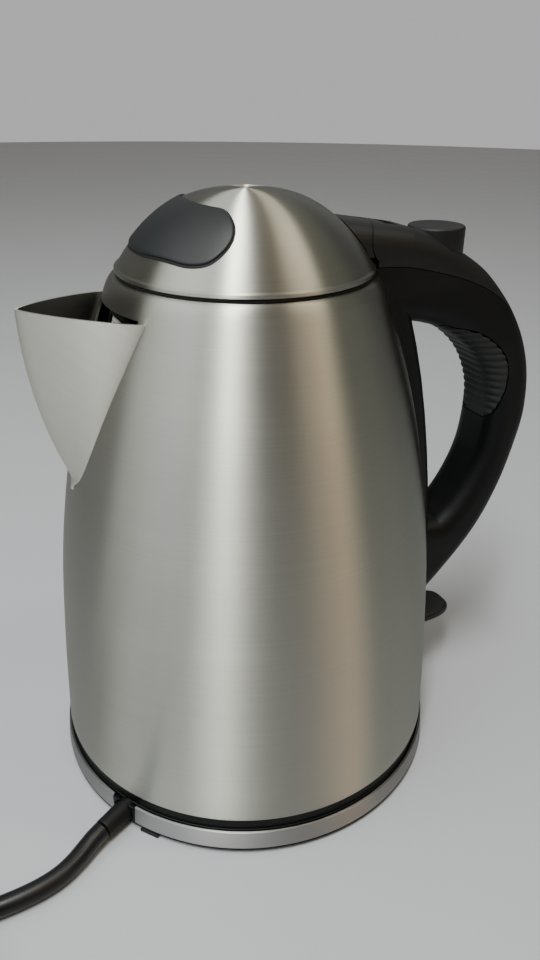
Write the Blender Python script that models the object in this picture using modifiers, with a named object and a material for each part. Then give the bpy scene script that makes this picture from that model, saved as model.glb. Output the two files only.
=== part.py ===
"""Cordless electric kettle on a round power base.

Lengths are in millimetres and MM turns them into metres. The origin is the centre of the base on the
surface it stands on, +Z is up, the spout points to -X and the handle to +X.
"""
import math

import bmesh
import bpy
from mathutils import Matrix, Vector

MM = 0.001
GAP = 0.3                    # air between pieces that touch
STEPS = 40                   # facets round the large turned pieces

# Power base
BASE_R = 78.9
TRAY_R = 77.6
BAND_BOTTOM = 2.4
BAND_TOP = 9.9
BAND_THICK = 0.9
EXIT_ANGLE = 209.0           # where the cord leaves the base, degrees from +X
EXIT_Z = 5.4
TAB_ANGLE = 218.0            # small foot at the rim, beside the cord
GLAND_END_R = 90.0
BOSS_R = 16.4
BOSS_TOP = 22.0

# Jug wall: outer radius at height, from the foot to the top of the shoulder
WALL = [(15.7, 77.3), (40.0, 76.4), (64.0, 75.1), (84.0, 73.7), (100.0, 72.0), (116.0, 69.7),
        (132.0, 66.9), (148.0, 63.6), (162.0, 59.9), (174.0, 56.1), (184.0, 52.8), (191.0, 50.4),
        (195.5, 48.7), (198.0, 47.2), (198.9, 45.8), (199.0, 43.4)]
WALL_THICK = 0.8
FLOOR_Z = 45.0

# Lid
DOME_R = 45.2
DOME_BASE_Z = 200.7
DOME_H = 26.0
DOME_ROUND = 2.7
DOME_FALL = 0.96
DOME_EDGE = 0.985            # part of the radius where the dome ends in its flange
FLANGE_R = 45.4
FLANGE_Z = 200.4
PAD_RAISE = 0.8
HINGE = (52.0, 207.5)        # x and z of the lid's pin
HINGE_NOSE = 8.5             # radius about the pin where the fixed cover ends

# Spout
SPOUT_TOP = 190.8
SPOUT_BOTTOM = 130.0
SPOUT_HALF = 23.0
SPOUT_REACH = 79.0
SPOUT_RISE = 2.9

# Handle
HANDLE_W = 27.0
HANDLE_ROUND = 7.0
HANDLE_OUTER = [(62, 211.2), (72, 208), (80, 204.5), (90, 199), (100.5, 192), (111.5, 181), (119, 171),
                (124.5, 161), (128.5, 149.5), (130.3, 138), (130.3, 126), (127.2, 111), (123.4, 98),
                (118.2, 85.5), (112, 74.5), (104.3, 64.5), (95, 54.5), (88, 47.5)]
OPENING_LOOP = [(71, 174.4), (78, 172.2), (87, 168), (95, 162.3), (101.5, 155.5), (106, 148),
                (109, 140), (110.3, 131), (110, 121.5), (108.5, 112), (105.5, 103.5), (101, 95),
                (95.5, 87.5), (90, 82.3)]
SPINE_PROUD = 11.6
BUTTON_X = 80.0
BUTTON_R = 11.0
BUTTON_TOP = 209.7
LEVER_Z = (26.2, 30.6)
LEVER_PIVOT = (81.4, 28.4)
LEVER_HALF = 10.6
LEVER_REACH = 106.0

# Cord
CORD_D = 7.3
COIL_CENTRE = (-178.0, -98.0)
COIL_R = 40.0
COIL_LOW = 1.2
CORD_ROUTE = [(-79.0, -43.8, 5.4), (-82.4, -45.7, 5.0), (-86.5, -48.4, 4.3), (-91.5, -51.9, 3.8),
              (-97.5, -55.2, 3.7), (-104.5, -57.3, 3.7), (-112.0, -58.3, 3.7), (-120.5, -58.6, 3.7),
              (-129.5, -58.5, 3.8), (-138.5, -58.3, 4.0), (-147.0, -58.1, 4.4), (-155.0, -58.0, 4.8)]
TAIL_ROUTE = [(-138.2, -91.0, 12.2), (-138.6, -83.0, 12.3), (-138.8, -74.0, 12.4), (-138.8, -66.0, 12.4),
              (-138.8, -58.0, 12.0), (-138.9, -50.0, 10.6), (-139.4, -42.0, 8.6), (-140.8, -34.0, 7.4),
              (-143.4, -26.6, 7.3), (-147.6, -20.2, 7.6), (-152.6, -15.0, 8.2), (-158.2, -10.6, 8.8)]
PLUG_CENTRE = (-189.0, 12.5)
PLUG_ANGLE = -37.0           # direction of the plug's cable entry, degrees from +X


def clear_scene():
    for obj in list(bpy.data.objects):
        bpy.data.objects.remove(obj, do_unlink=True)


def collection(name):
    made = bpy.data.collections.new(name)
    bpy.context.scene.collection.children.link(made)
    return made


def material(name, colour, roughness, metallic=0.0, transmission=0.0):
    mat = bpy.data.materials.new(name)
    mat.use_nodes = True
    shader = mat.node_tree.nodes["Principled BSDF"]
    shader.inputs["Base Color"].default_value = (*colour, 1.0)
    shader.inputs["Roughness"].default_value = roughness
    shader.inputs["Metallic"].default_value = metallic
    shader.inputs["Transmission Weight"].default_value = transmission
    return mat


clear_scene()
KETTLE = collection("electric_kettle")
CUTTERS = collection("cutters")
STEEL = material("brushed_steel", (0.62, 0.61, 0.58), 0.32, 1.0)
BLACK = material("black_plastic", (0.012, 0.012, 0.013), 0.45)
SLATE = material("slate_inlay", (0.05, 0.06, 0.065), 0.4)
GREY = material("ribbed_grip", (0.03, 0.035, 0.035), 0.6)
RUBBER = material("rubber", (0.02, 0.02, 0.02), 0.8)
BRASS = material("brass", (0.7, 0.5, 0.2), 0.35, 1.0)
ALUMINIUM = material("aluminium", (0.75, 0.75, 0.76), 0.4, 1.0)
PALE = material("pale_plastic", (0.75, 0.74, 0.7), 0.5)
CLEAR = material("clear_window", (0.8, 0.85, 0.88), 0.1, 0.0, 0.8)


def link(name, mesh, mat, cutter=False):
    obj = bpy.data.objects.new(name, mesh)
    if cutter:
        CUTTERS.objects.link(obj)
        obj.hide_render = True
        obj.display_type = "WIRE"
    else:
        KETTLE.objects.link(obj)
        mesh.materials.append(mat)
    return obj


def mesh_from(bm, name):
    mesh = bpy.data.meshes.new(name)
    bm.to_mesh(mesh)
    bm.free()
    return mesh


def turned(name, profile, mat, steps=STEPS, closed=False, at=(0, 0, 0), cutter=False):
    """Solid of revolution about Z. The profile is (radius, z), and its outer side runs downwards."""
    bm = bmesh.new()
    verts = [bm.verts.new((r * MM, 0.0, z * MM)) for r, z in profile]
    for first, second in zip(verts, verts[1:]):
        bm.edges.new((first, second))
    if closed:
        bm.edges.new((verts[-1], verts[0]))
    obj = link(name, mesh_from(bm, name), mat, cutter)
    obj.location = Vector(at) * MM
    screw = obj.modifiers.new("turn", "SCREW")
    screw.steps = steps
    screw.render_steps = steps
    screw.use_merge_vertices = True
    screw.merge_threshold = 0.00001
    screw.use_smooth_shade = True
    return obj


def box(name, low, high, mat, bevel=0.0, cutter=False):
    bm = bmesh.new()
    bmesh.ops.create_cube(bm, size=1.0)
    size = [(b - a) * MM for a, b in zip(low, high)]
    middle = [(a + b) / 2 * MM for a, b in zip(low, high)]
    bmesh.ops.scale(bm, vec=size, verts=bm.verts)
    obj = link(name, mesh_from(bm, name), mat, cutter)
    obj.location = middle
    if bevel:
        edge = obj.modifiers.new("edges", "BEVEL")
        edge.width = bevel * MM
        edge.segments = 2
    return obj


def rod(name, start, end, radius, mat, sides=16, radius_end=None, cutter=False):
    """Straight round rod, or a cone, between two points."""
    a, b = Vector(start) * MM, Vector(end) * MM
    bm = bmesh.new()
    bmesh.ops.create_cone(bm, cap_ends=True, segments=sides, radius1=radius * MM,
                          radius2=(radius if radius_end is None else radius_end) * MM,
                          depth=(b - a).length)
    for face in bm.faces:
        face.smooth = len(face.verts) == 4
    obj = link(name, mesh_from(bm, name), mat, cutter)
    obj.location = (a + b) / 2
    obj.rotation_mode = "QUATERNION"
    obj.rotation_quaternion = (b - a).to_track_quat("Z", "Y")
    return obj


def smooth_points(points, between, closed=False):
    """Catmull-Rom curve through the points, with some points between each two."""
    pts = [Vector(p) for p in points]
    count = len(pts)
    spans = count if closed else count - 1
    out = []
    for i in range(spans):
        p1, p2 = pts[i], pts[(i + 1) % count]
        p0 = pts[i - 1] if (closed or i > 0) else p1 * 2 - p2
        p3 = pts[(i + 2) % count] if (closed or i + 2 < count) else p2 * 2 - p1
        for k in range(between + 1):
            t = k / (between + 1)
            out.append(0.5 * (2 * p1 + (p2 - p0) * t + (2 * p0 - 5 * p1 + 4 * p2 - p3) * t ** 2
                              + (3 * p1 - p0 - 3 * p2 + p3) * t ** 3))
    if not closed:
        out.append(pts[-1])
    return out


def mesh_of_curve(curve_obj, name, mat, cutter=False):
    """Turn a curve object into a closed mesh object that keeps its place."""
    bpy.context.view_layer.update()
    evaluated = curve_obj.evaluated_get(bpy.context.evaluated_depsgraph_get())
    mesh = bpy.data.meshes.new_from_object(evaluated)
    mesh.name = name
    bm = bmesh.new()
    bm.from_mesh(mesh)
    bmesh.ops.remove_doubles(bm, verts=bm.verts, dist=0.00001)
    bmesh.ops.recalc_face_normals(bm, faces=bm.faces)
    bm.to_mesh(mesh)
    bm.free()
    mesh.materials.clear()
    placed = curve_obj.matrix_world.copy()
    bpy.data.objects.remove(curve_obj, do_unlink=True)
    obj = link(name, mesh, mat, cutter)
    obj.matrix_world = placed
    return obj


def plate(name, outlines, thickness, mat, rounding=0.0, upright=False, at=(0, 0, 0), turn=0.0,
          cutter=False, grow=0.0):
    """Flat outline with thickness, centred on its plane: XY, or XZ when upright. Grow moves its rim out."""
    data = bpy.data.curves.new(name + "_outline", "CURVE")
    data.dimensions = "2D"
    data.fill_mode = "BOTH"
    data.extrude = (thickness / 2 - rounding) * MM
    if rounding:
        data.bevel_depth = rounding * MM
        data.bevel_resolution = 2
    data.offset = (grow - rounding) * MM
    for outline in outlines:
        spline = data.splines.new("POLY")
        spline.points.add(len(outline) - 1)
        for point, (x, y) in zip(spline.points, outline):
            point.co = (x * MM, y * MM, 0.0, 1.0)
        spline.use_cyclic_u = True
    curve = bpy.data.objects.new(name + "_curve", data)
    CUTTERS.objects.link(curve)
    curve.location = Vector(at) * MM
    curve.rotation_euler = (math.pi / 2 if upright else 0.0, 0.0, turn)
    return mesh_of_curve(curve, name, mat, cutter)


def tube(name, points, radius, mat, resolution=2):
    """Round tube along points, as a closed mesh."""
    data = bpy.data.curves.new(name + "_line", "CURVE")
    data.dimensions = "3D"
    data.bevel_depth = radius * MM
    data.bevel_resolution = resolution
    data.use_fill_caps = True
    spline = data.splines.new("POLY")
    spline.points.add(len(points) - 1)
    for point, place in zip(spline.points, points):
        point.co = (*(Vector(place) * MM), 1.0)
    spline.use_smooth = True
    curve = bpy.data.objects.new(name + "_curve", data)
    CUTTERS.objects.link(curve)
    return mesh_of_curve(curve, name, mat)


def boolean(target, cutter, operation="DIFFERENCE"):
    cut = target.modifiers.new(operation.lower(), "BOOLEAN")
    cut.operation = operation
    cut.object = cutter
    cut.solver = "EXACT"


def polar(radius, degrees, z):
    angle = math.radians(degrees)
    return (radius * math.cos(angle), radius * math.sin(angle), z)


def wall_radius(z):
    """Outer radius of the jug wall at a height."""
    if z <= WALL[0][0]:
        return WALL[0][1]
    for (z0, r0), (z1, r1) in zip(WALL, WALL[1:]):
        if z <= z1:
            return r0 + (r1 - r0) * (z - z0) / (z1 - z0)
    return WALL[-1][1]


def dome_point(part):
    """Radius and height of the dome's outer side at a part of its radius."""
    return DOME_R * part, DOME_BASE_Z + DOME_H * (1.0 - part ** DOME_ROUND) ** DOME_FALL


def dome_profile(grow, count=10):
    """Outer side of the dome from the apex down, moved outwards by grow."""
    points = [(0.0, DOME_BASE_Z + DOME_H + grow)]
    for i in range(1, count + 1):
        part = DOME_EDGE * i / count
        r, z = dome_point(part)
        (r0, z0), (r1, z1) = dome_point(part - 0.005), dome_point(part + 0.005)
        length = math.hypot(r1 - r0, z1 - z0)
        points.append((r + grow * (z0 - z1) / length, z + grow * (r1 - r0) / length))
    return points


def wall_solid(name, grow, top=199.4):
    """Cutter of the jug's whole outer shape, grown by a gap."""
    side = [(r + grow, z + (grow if z > 197 else 0.0)) for z, r in reversed(WALL)]
    return turned(name, [(0, top), (side[0][0], top)] + side + [(side[-1][0], 5), (0, 5)], None, cutter=True)


# ---- power base ---------------------------------------------------------------------------------------

def make_base():
    exit_cut = rod("exit_cut", polar(61.5, EXIT_ANGLE, EXIT_Z), polar(96, EXIT_ANGLE, EXIT_Z), 5.2, None,
                   cutter=True)
    tray = turned("base_tray", [(0, 3.1), (76.0, 3.1), (76.0, 8.6), (TRAY_R, 8.6), (TRAY_R, 2.1),
                                (BASE_R - 0.1, 2.1), (BASE_R - 0.1, 1.6), (0, 1.6)], BLACK)
    band = turned("base_band", [(BASE_R - 1.6, BAND_TOP), (BASE_R - 0.7, BAND_TOP), (BASE_R - 0.4, BAND_TOP - 0.3),
                                (BASE_R, BAND_BOTTOM + 0.2), (BASE_R - 0.1, BAND_BOTTOM),
                                (BASE_R - BAND_THICK, BAND_BOTTOM), (BASE_R - BAND_THICK, BAND_TOP - 1.2)],
                  STEEL, closed=True)
    top = turned("base_top", [(24.0, 10.2), (76.6, 10.2), (76.9, 9.9), (76.9, 8.9), (24.0, 8.9)], BLACK,
                 closed=True)
    for piece in (tray, band, top):
        boolean(piece, exit_cut)
    turned("base_connector", [(0, 9.5), (3.6, 9.5), (3.6, BOSS_TOP), (8.8, BOSS_TOP), (8.8, 8.0), (11.4, 8.0),
                              (11.4, BOSS_TOP), (BOSS_R - 0.6, BOSS_TOP), (BOSS_R, BOSS_TOP - 0.6),
                              (BOSS_R, 10.2), (23.6, 10.2), (23.6, 8.6), (26.0, 8.6), (26.0, 3.4), (0, 3.4)],
           BLACK, steps=32)
    turned("line_contact", [(9.2, 11.6), (11.0, 11.6), (11.0, 8.4), (9.2, 8.4)], BRASS, steps=24, closed=True)
    for i in range(4):
        x, y, _ = polar(64, 45 + 90 * i, 0)
        turned(f"foot_{i + 1}", [(0, 1.3), (5.5, 1.3), (5.5, 0.4), (5.1, 0), (0, 0)], RUBBER, steps=16,
               at=(x, y, 0))


def make_rim_tab():
    """Small foot that shows under the rim beside the cord."""
    tab = box("rim_tab", (73.0, -4.0, 0.0), (79.3, 4.0, 1.3), BLACK, bevel=0.3)
    tab.matrix_world = Matrix.Rotation(math.radians(TAB_ANGLE), 4, "Z") @ Matrix.Translation(tab.location)


def make_base_screws():
    """Screws from below through the tray into the cover, in bosses with clear holes."""
    tray = bpy.data.objects["base_tray"]
    for i in range(3):
        x, y, _ = polar(46, 90 + 120 * i, 0)
        hole = rod(f"base_hole_{i + 1}", (x, y, 0), (x, y, 6), 3.4, None, cutter=True, sides=12)
        boolean(tray, hole)
        turned(f"base_screw_{i + 1}", [(0, 8.5), (1.4, 8.5), (1.4, 3.4), (3.0, 3.4), (3.0, 1.9), (0, 1.9)],
               BRASS, steps=12, at=(x, y, 0))


# ---- cord and plug ------------------------------------------------------------------------------------

def make_gland():
    inner, outer = polar(62, EXIT_ANGLE, EXIT_Z), polar(GLAND_END_R - GAP, EXIT_ANGLE, EXIT_Z)
    rod("cord_gland", inner, outer, 4.6, RUBBER, sides=20, radius_end=3.9)


def make_cord():
    ring_profile = [(COIL_R - 3.8, 15.9), (COIL_R + 3.8, 15.9), (COIL_R + 3.8, COIL_LOW),
                    (COIL_R - 3.8, COIL_LOW)]
    at = (*COIL_CENTRE, 0)
    turned("cord_coil", ring_profile, RUBBER, steps=40, closed=True, at=at)
    cut_profile = [(COIL_R - 4.1, 17), (COIL_R + 4.1, 17), (COIL_R + 4.1, 0.5), (COIL_R - 4.1, 0.5)]
    ring_cut = turned("coil_cut", cut_profile, None, steps=40, closed=True, at=at, cutter=True)
    cord = tube("cord", smooth_points(CORD_ROUTE, 0), CORD_D / 2, RUBBER)
    tail = tube("cord_tail", smooth_points(TAIL_ROUTE, 0), CORD_D / 2, RUBBER)
    boolean(cord, ring_cut)
    boolean(tail, ring_cut)
    outer = [(-5.3, 0.1), (5.3, 0.1), (5.3, 17.2), (-5.3, 17.2)]
    inner = [(-4.3, 0.8), (4.3, 0.8), (4.3, 16.4), (-4.3, 16.4)]
    angle = 235.0
    x, y, _ = polar(COIL_R, angle, 0)
    plate("cord_tie", [outer, inner], 9.0, BLACK, upright=True, turn=math.radians(angle),
          at=(COIL_CENTRE[0] + x, COIL_CENTRE[1] + y, 0))


def make_plug():
    """Angled plug that lies on its back, pins up, with its cable entry at one side."""
    outline = [(18.5 * math.cos(a), 18.5 * math.sin(a)) for a in
               [math.radians(32 + 296 * i / 20) for i in range(21)]]
    outline += [(24.0, -5.6), (38.0, -5.0), (38.0, 5.0), (24.0, 5.6)]
    turn = math.radians(PLUG_ANGLE)
    body = plate("plug_body", [outline], 17.0, RUBBER, rounding=1.5, at=(*PLUG_CENTRE, 8.6), turn=turn)
    across = Vector((-math.sin(turn), math.cos(turn)))
    centre = Vector(PLUG_CENTRE)
    for i, side in enumerate((-1, 1)):
        x, y = centre + across * 9.5 * side
        socket = rod(f"pin_hole_{i + 1}", (x, y, 10), (x, y, 20), 2.7, None, cutter=True)
        boolean(body, socket)
        rod(f"plug_pin_{i + 1}", (x, y, 10.3), (x, y, 36), 2.4, BRASS)
    along = Vector((math.cos(turn), math.sin(turn)))
    for i, side in enumerate((-1, 1)):
        slot = box(f"clip_slot_{i + 1}", (-2.6, -1.4, 8.0), (2.6, 1.4, 24.0), None, cutter=True)
        clip = box(f"earth_clip_{i + 1}", (-2.3, -0.5, 8.4), (2.3, 0.5, 17.0), BRASS)
        spot = centre + across * 17.4 * side
        place = Matrix.Translation((spot.x * MM, spot.y * MM, 0)) @ Matrix.Rotation(turn, 4, "Z")
        for piece in (slot, clip):
            piece.matrix_world = place @ Matrix.Translation(piece.location)
        boolean(body, slot)


# ---- jug ----------------------------------------------------------------------------------------------

def make_wall():
    outer = [(r, z) for z, r in reversed(WALL)]
    inner = [(r - WALL_THICK, z) for z, r in WALL[:-4:2] + [WALL[-4]]]
    inner += [(46.4, 197.6), (45.4, 198.1), (WALL[-1][1], 198.2)]
    wall = turned("jug_wall", outer + inner, STEEL, closed=True)
    half = [(spout_half(z) - 1.6, z) for z in (189.0, 180.0, 170.0, 160.0, 150.0, 140.0)]
    right = [(SPOUT_HALF - 2.4, 191.4)] + half + [(0.0, 134.0)]
    left = [(-y, z) for y, z in reversed(right[:-1])]
    opening = plate("spout_opening", [right + left], 50.0, None, upright=True, turn=math.pi / 2,
                    at=(-60, 0, 0), cutter=True)
    boolean(wall, opening)
    return wall


def spout_half(z):
    """Half the width of the spout where it meets the wall."""
    drop = min(max((SPOUT_TOP - z) / (SPOUT_TOP - SPOUT_BOTTOM), 0.0), 1.0)
    return max(SPOUT_HALF * (1.0 - drop) ** 0.47, 0.6)


def spout_ridge(z):
    """How far the spout's front edge stands from the axis."""
    drop = max((SPOUT_TOP + SPOUT_RISE - z) / 61.0, 0.0)
    return SPOUT_REACH - 12.0 * drop ** 2.2


def spout_grid(levels, across, bury):
    """Rows of points from one root round the ridge to the other, buried in the wall by bury."""
    rows = []
    for i in range(levels + 1):
        level = i / levels
        z = SPOUT_TOP + (SPOUT_BOTTOM - 2.5 - SPOUT_TOP) * level
        half = spout_half(z)
        root = math.sqrt((wall_radius(z) - bury) ** 2 - half ** 2)
        reach = max(spout_ridge(z) - root, 0.5)
        row = []
        for k in range(across + 1):
            angle = math.pi * k / across
            out = abs(math.sin(angle)) ** 1.6
            side = abs(math.cos(angle)) ** 1.6 * (1 if k * 2 < across else -1)
            rise = SPOUT_RISE * out * (1.0 - level)
            row.append((-(root + reach * out), -half * side, z + rise))
        rows.append(row)
    return rows


def make_spout():
    rows = spout_grid(9, 16, 3.0)
    bm = bmesh.new()
    grid = [[bm.verts.new(Vector(p) * MM) for p in row] for row in rows]
    for upper, lower in zip(grid, grid[1:]):
        for k in range(len(upper) - 1):
            bm.faces.new((upper[k], lower[k], lower[k + 1], upper[k + 1]))
    for face in bm.faces:
        face.smooth = True
    spout = link("spout", mesh_from(bm, "spout"), STEEL)
    shell = spout.modifiers.new("sheet", "SOLIDIFY")
    shell.thickness = WALL_THICK * MM
    shell.offset = -1.0
    boolean(spout, wall_solid("spout_wall_cut", GAP, top=260.0))


def make_floor_and_heater():
    radius = wall_radius(FLOOR_Z + 8) - WALL_THICK - 0.5
    turned("jug_floor", [(0, FLOOR_Z + 0.8), (radius - 2.2, FLOOR_Z + 0.8), (radius - 0.8, FLOOR_Z + 2.2),
                         (radius - 0.8, FLOOR_Z + 4), (radius, FLOOR_Z + 4), (radius, FLOOR_Z + 1.6),
                         (radius - 1.6, FLOOR_Z), (0, FLOOR_Z)], STEEL)
    turned("heater_plate", [(0, 44.6), (61, 44.6), (61, 42.0), (0, 42.0)], ALUMINIUM, steps=40)
    arc = [polar(44, 25 + 310 * i / 28, 38.4) for i in range(29)]
    tube("heating_ring", arc, 3.2, ALUMINIUM)
    turned("control_unit", [(0, 36.8), (19.0, 36.8), (22.0, 34.5), (22.0, 30.5), (0, 30.5)], PALE, steps=24)


def make_jug_underside():
    cover = turned("jug_base_cover", [(26.4, 12.4), (74.6, 12.4), (74.6, 22.0), (75.9, 22.0), (75.9, 15.5),
                                      (76.6, 15.5), (76.6, 10.9), (76.2, 10.5), (26.4, 10.5)], BLACK, closed=True)
    for i in range(3):
        x, y, _ = polar(58, 30 + 120 * i, 0)
        hole = rod(f"cover_hole_{i + 1}", (x, y, 8), (x, y, 16), 1.8, None, cutter=True, sides=12)
        boolean(cover, hole)
        turned(f"cover_screw_{i + 1}", [(0, 14.4), (3.2, 14.4), (3.2, 12.7), (1.5, 12.7), (1.5, 10.9),
                                        (0, 10.9)], BRASS, steps=12, at=(x, y, 0))
    turned("kettle_connector", [(0, 30.2), (25.0, 30.2), (25.9, 29.3), (25.9, 10.9), (17.2, 10.9),
                                (17.2, 26.7), (10.7, 26.7), (10.7, 12.6), (9.5, 12.6), (9.5, 26.7),
                                (3.0, 26.7), (3.0, 12.0), (0, 12.0)], BLACK, steps=32)


def make_filter():
    """Flat frame that leans behind the spout opening, with a mesh panel in it."""
    lean = math.radians(17.0)
    frame = box("filter_frame", (-1.0, -17, -24), (1.0, 17, 24), BLACK)
    panel = box("filter_mesh", (-0.3, -14.2, -21.2), (0.3, 14.2, 21.2), PALE)
    window = box("filter_window", (-2.0, -14.5, -21.5), (2.0, 14.5, 21.5), None, cutter=True)
    place = Matrix.Translation((-50.5 * MM, 0, 164 * MM)) @ Matrix.Rotation(lean, 4, "Y")
    for piece in (frame, panel, window):
        piece.matrix_world = place
    boolean(frame, window)


# ---- handle -------------------------------------------------------------------------------------------

def parting_line(grow):
    """Line between handle body and top cover, as (x, z) from front to back."""
    line = [(30, 199.2), (56, 198.0), (69, 195.6), (85, 191.2), (97, 186.2), (108, 179.7), (124, 167.2)]
    return [(x, z + grow) for x, z in line]


def nose_zone(name, radius, low):
    """Cutter of all that lies in front of an arc about the lid's pin, above a height."""
    x, z = HINGE
    last = 180.0 + math.degrees(math.asin((z - max(low, z - 6.0)) / radius))
    arc = [(x + radius * math.cos(a), z + radius * math.sin(a)) for a in
           [math.radians(last + (133.0 - last) * i / 12) for i in range(13)]]
    foot = [(20, low), (46.4, low), (46.4, 201.0)] if low < 201 else [(20, low)]
    return plate(name, [foot + arc + [(45.2, 230), (20, 230)]], 60, None, upright=True, cutter=True)


def handle_solid(name, mat, cutter=False, shrink=0.0):
    """The whole handle with its finger opening, or a smaller copy of it."""
    outer = [(30.0, 216.5)] + [tuple(p) for p in smooth_points(HANDLE_OUTER, 1)]
    outer += [(84.0, 43.0), (70, 43.0), (62, 60), (60, 100), (55, 130), (46, 160), (38, 185), (30, 198.6)]
    spine = [(wall_radius(z) + SPINE_PROUD, z) for z in (88, 104, 120, 136, 152, 166)]
    hole = [(85.4, 82.4)] + spine + [(67.2, 175.2)] + [tuple(p) for p in smooth_points(OPENING_LOOP, 1)]
    return plate(name, [outer, hole], HANDLE_W - 2 * shrink, mat, rounding=HANDLE_ROUND - shrink,
                 upright=True, cutter=cutter, grow=-shrink)


def make_handle(wall_cut):
    body = handle_solid("handle_body", BLACK)
    above = parting_line(0.0) + [(124, 230), (30, 230)]
    boolean(body, plate("above_parting", [above], 60, None, upright=True, cutter=True))
    boolean(body, wall_cut)
    cover = handle_solid("handle_top_cover", BLACK)
    below = parting_line(GAP) + [(140, 160), (140, 30), (30, 30)]
    boolean(cover, plate("below_parting", [below], 60, None, upright=True, cutter=True))
    boolean(cover, wall_cut)
    boolean(cover, nose_zone("cover_front", HINGE_NOSE, 190.0))
    bore = rod("button_bore", (BUTTON_X, 0, 150), (BUTTON_X, 0, 230), BUTTON_R + 0.35, None, sides=32,
               cutter=True)
    bore_floor = box("bore_floor", (60, -20, 120), (100, 20, 191.0), None, cutter=True)
    boolean(bore, bore_floor)
    well = rod("spring_well", (BUTTON_X, 0, 183), (BUTTON_X, 0, 196), 7.6, None, sides=20, cutter=True)
    for cutter_obj, pieces in ((bore, (body, cover)), (well, (body,))):
        for piece in pieces:
            boolean(piece, cutter_obj)
    cavity = box("cover_cavity", (56.8, -6.5, 190), (76, 6.5, 206.5), None, cutter=True)
    slot = box("hinge_slot", (40, -5.8, 190), (58.4, 5.8, 230), None, cutter=True)
    pocket = box("spring_pocket", (48.4, 6.9, 190), (56.2, 10.6, 210.6), None, cutter=True)
    pin_hole = rod("pin_hole", (HINGE[0], -10.8, HINGE[1]), (HINGE[0], 12.2, HINGE[1]), 1.75, None, cutter=True)
    for cutter_obj in (cavity, slot, pocket, pin_hole):
        boolean(cover, cutter_obj)
    return body


def make_grip(body):
    """Soft grip that wraps the loop's inner edge, set into a shallow recess of the handle."""
    outline = [(79.5, 172.4), (86, 171.2), (92.4, 169.9), (100, 166.9), (107.8, 161.2), (112.4, 155.6),
               (114.2, 150), (114.6, 144), (113.6, 137), (111.8, 130.5), (108.6, 125.6), (100, 124),
               (90, 138), (82, 156), (77, 168)]
    outline = [tuple(p) for p in smooth_points(outline, 1, True)]
    zone = plate("grip_zone", [outline], 60, None, upright=True, cutter=True)
    recess = plate("grip_recess", [outline], 60, None, upright=True, cutter=True, grow=GAP)
    boolean(recess, handle_solid("recess_core", None, cutter=True, shrink=1.9))
    grip = handle_solid("grip_insert", GREY)
    boolean(grip, zone, "INTERSECT")
    boolean(grip, handle_solid("grip_core", None, cutter=True, shrink=1.6))
    boolean(body, recess)


def make_gauge(body):
    """Water gauge: a clear strip in the outer face of the spine, with a float behind it."""
    low, high = 100.0, 160.0
    faces = [(wall_radius(z) + SPINE_PROUD, z) for z in (low, high)]
    (x0, z0), (x1, z1) = faces
    lean = math.atan2(x1 - x0, z1 - z0)
    length = math.hypot(x1 - x0, z1 - z0)
    place = Matrix.Translation(((x0 + x1) / 2 * MM, 0, (z0 + z1) / 2 * MM)) @ Matrix.Rotation(lean, 4, "Y")
    half = length / 2
    window = box("gauge_window", (-1.8, -3.5, -half), (-0.6, 3.5, half), CLEAR)
    channel = box("gauge_channel", (-4.2, -3.8, -half - GAP), (7.0, 3.8, half + GAP), None, cutter=True)
    float_ball = box("gauge_float", (-3.8, -2.2, -14), (-2.2, 2.2, -6), PALE, bevel=0.5)
    for piece in (window, channel, float_ball):
        piece.matrix_world = place @ Matrix.Translation(piece.location)
    boolean(body, channel)


def make_button():
    turned("thumb_button", [(0, BUTTON_TOP), (BUTTON_R - 0.5, BUTTON_TOP), (BUTTON_R, BUTTON_TOP - 0.5),
                            (BUTTON_R, 196.5), (3.2, 196.5), (3.2, 188.5), (0, 188.5)], BLACK, steps=28,
           at=(BUTTON_X, 0, 0))
    turns = 4
    coil = [(BUTTON_X + 5.4 * math.cos(a), 5.4 * math.sin(a), 184.3 + 11.2 * a / (turns * 2 * math.pi))
            for a in [2 * math.pi * turns * i / 40 for i in range(41)]]
    tube("button_spring", coil, 0.5, STEEL, resolution=1)
    box("latch_slider", (58.3, -4.0, 200.4), (66.1, 4.0, 203.4), PALE, bevel=0.5)


def make_lever(wall_cut_wide):
    """Tongue that rocks on a pin, with its bracket in a notch at the wall side."""
    outline = []
    for i in range(21):
        angle = math.radians(-90 + 9 * i)
        along, aside = abs(math.cos(angle)) ** 0.6, abs(math.sin(angle)) ** 0.6
        outline.append((79 + (LEVER_REACH - 79) * along, math.copysign(LEVER_HALF * aside, angle)))
    outline += [(68, LEVER_HALF), (68, -LEVER_HALF)]
    low, high = LEVER_Z
    lever = plate("switch_lever", [outline], high - low, BLACK, rounding=1.2, at=(0, 0, (low + high) / 2))
    boolean(lever, wall_cut_wide)
    x, z = LEVER_PIVOT
    boolean(lever, box("lever_notch", (60, -5.6, 20), (x + 4.0, 5.6, 60), None, cutter=True))
    boolean(lever, rod("lever_bore", (x, -9.2, z), (x, 9.2, z), 1.3, None, sides=12, cutter=True))
    rod("lever_pin", (x, -8.8, z), (x, 8.8, z), 1.0, STEEL, sides=12)
    bracket = box("lever_bracket", (68, -5.2, low), (x + 2.8, 5.2, high), BLACK, bevel=0.5)
    boolean(bracket, rod("bracket_bore", (x, -30, z), (x, 30, z), 1.3, None, sides=12, cutter=True))
    return bracket


# ---- lid ----------------------------------------------------------------------------------------------

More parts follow.
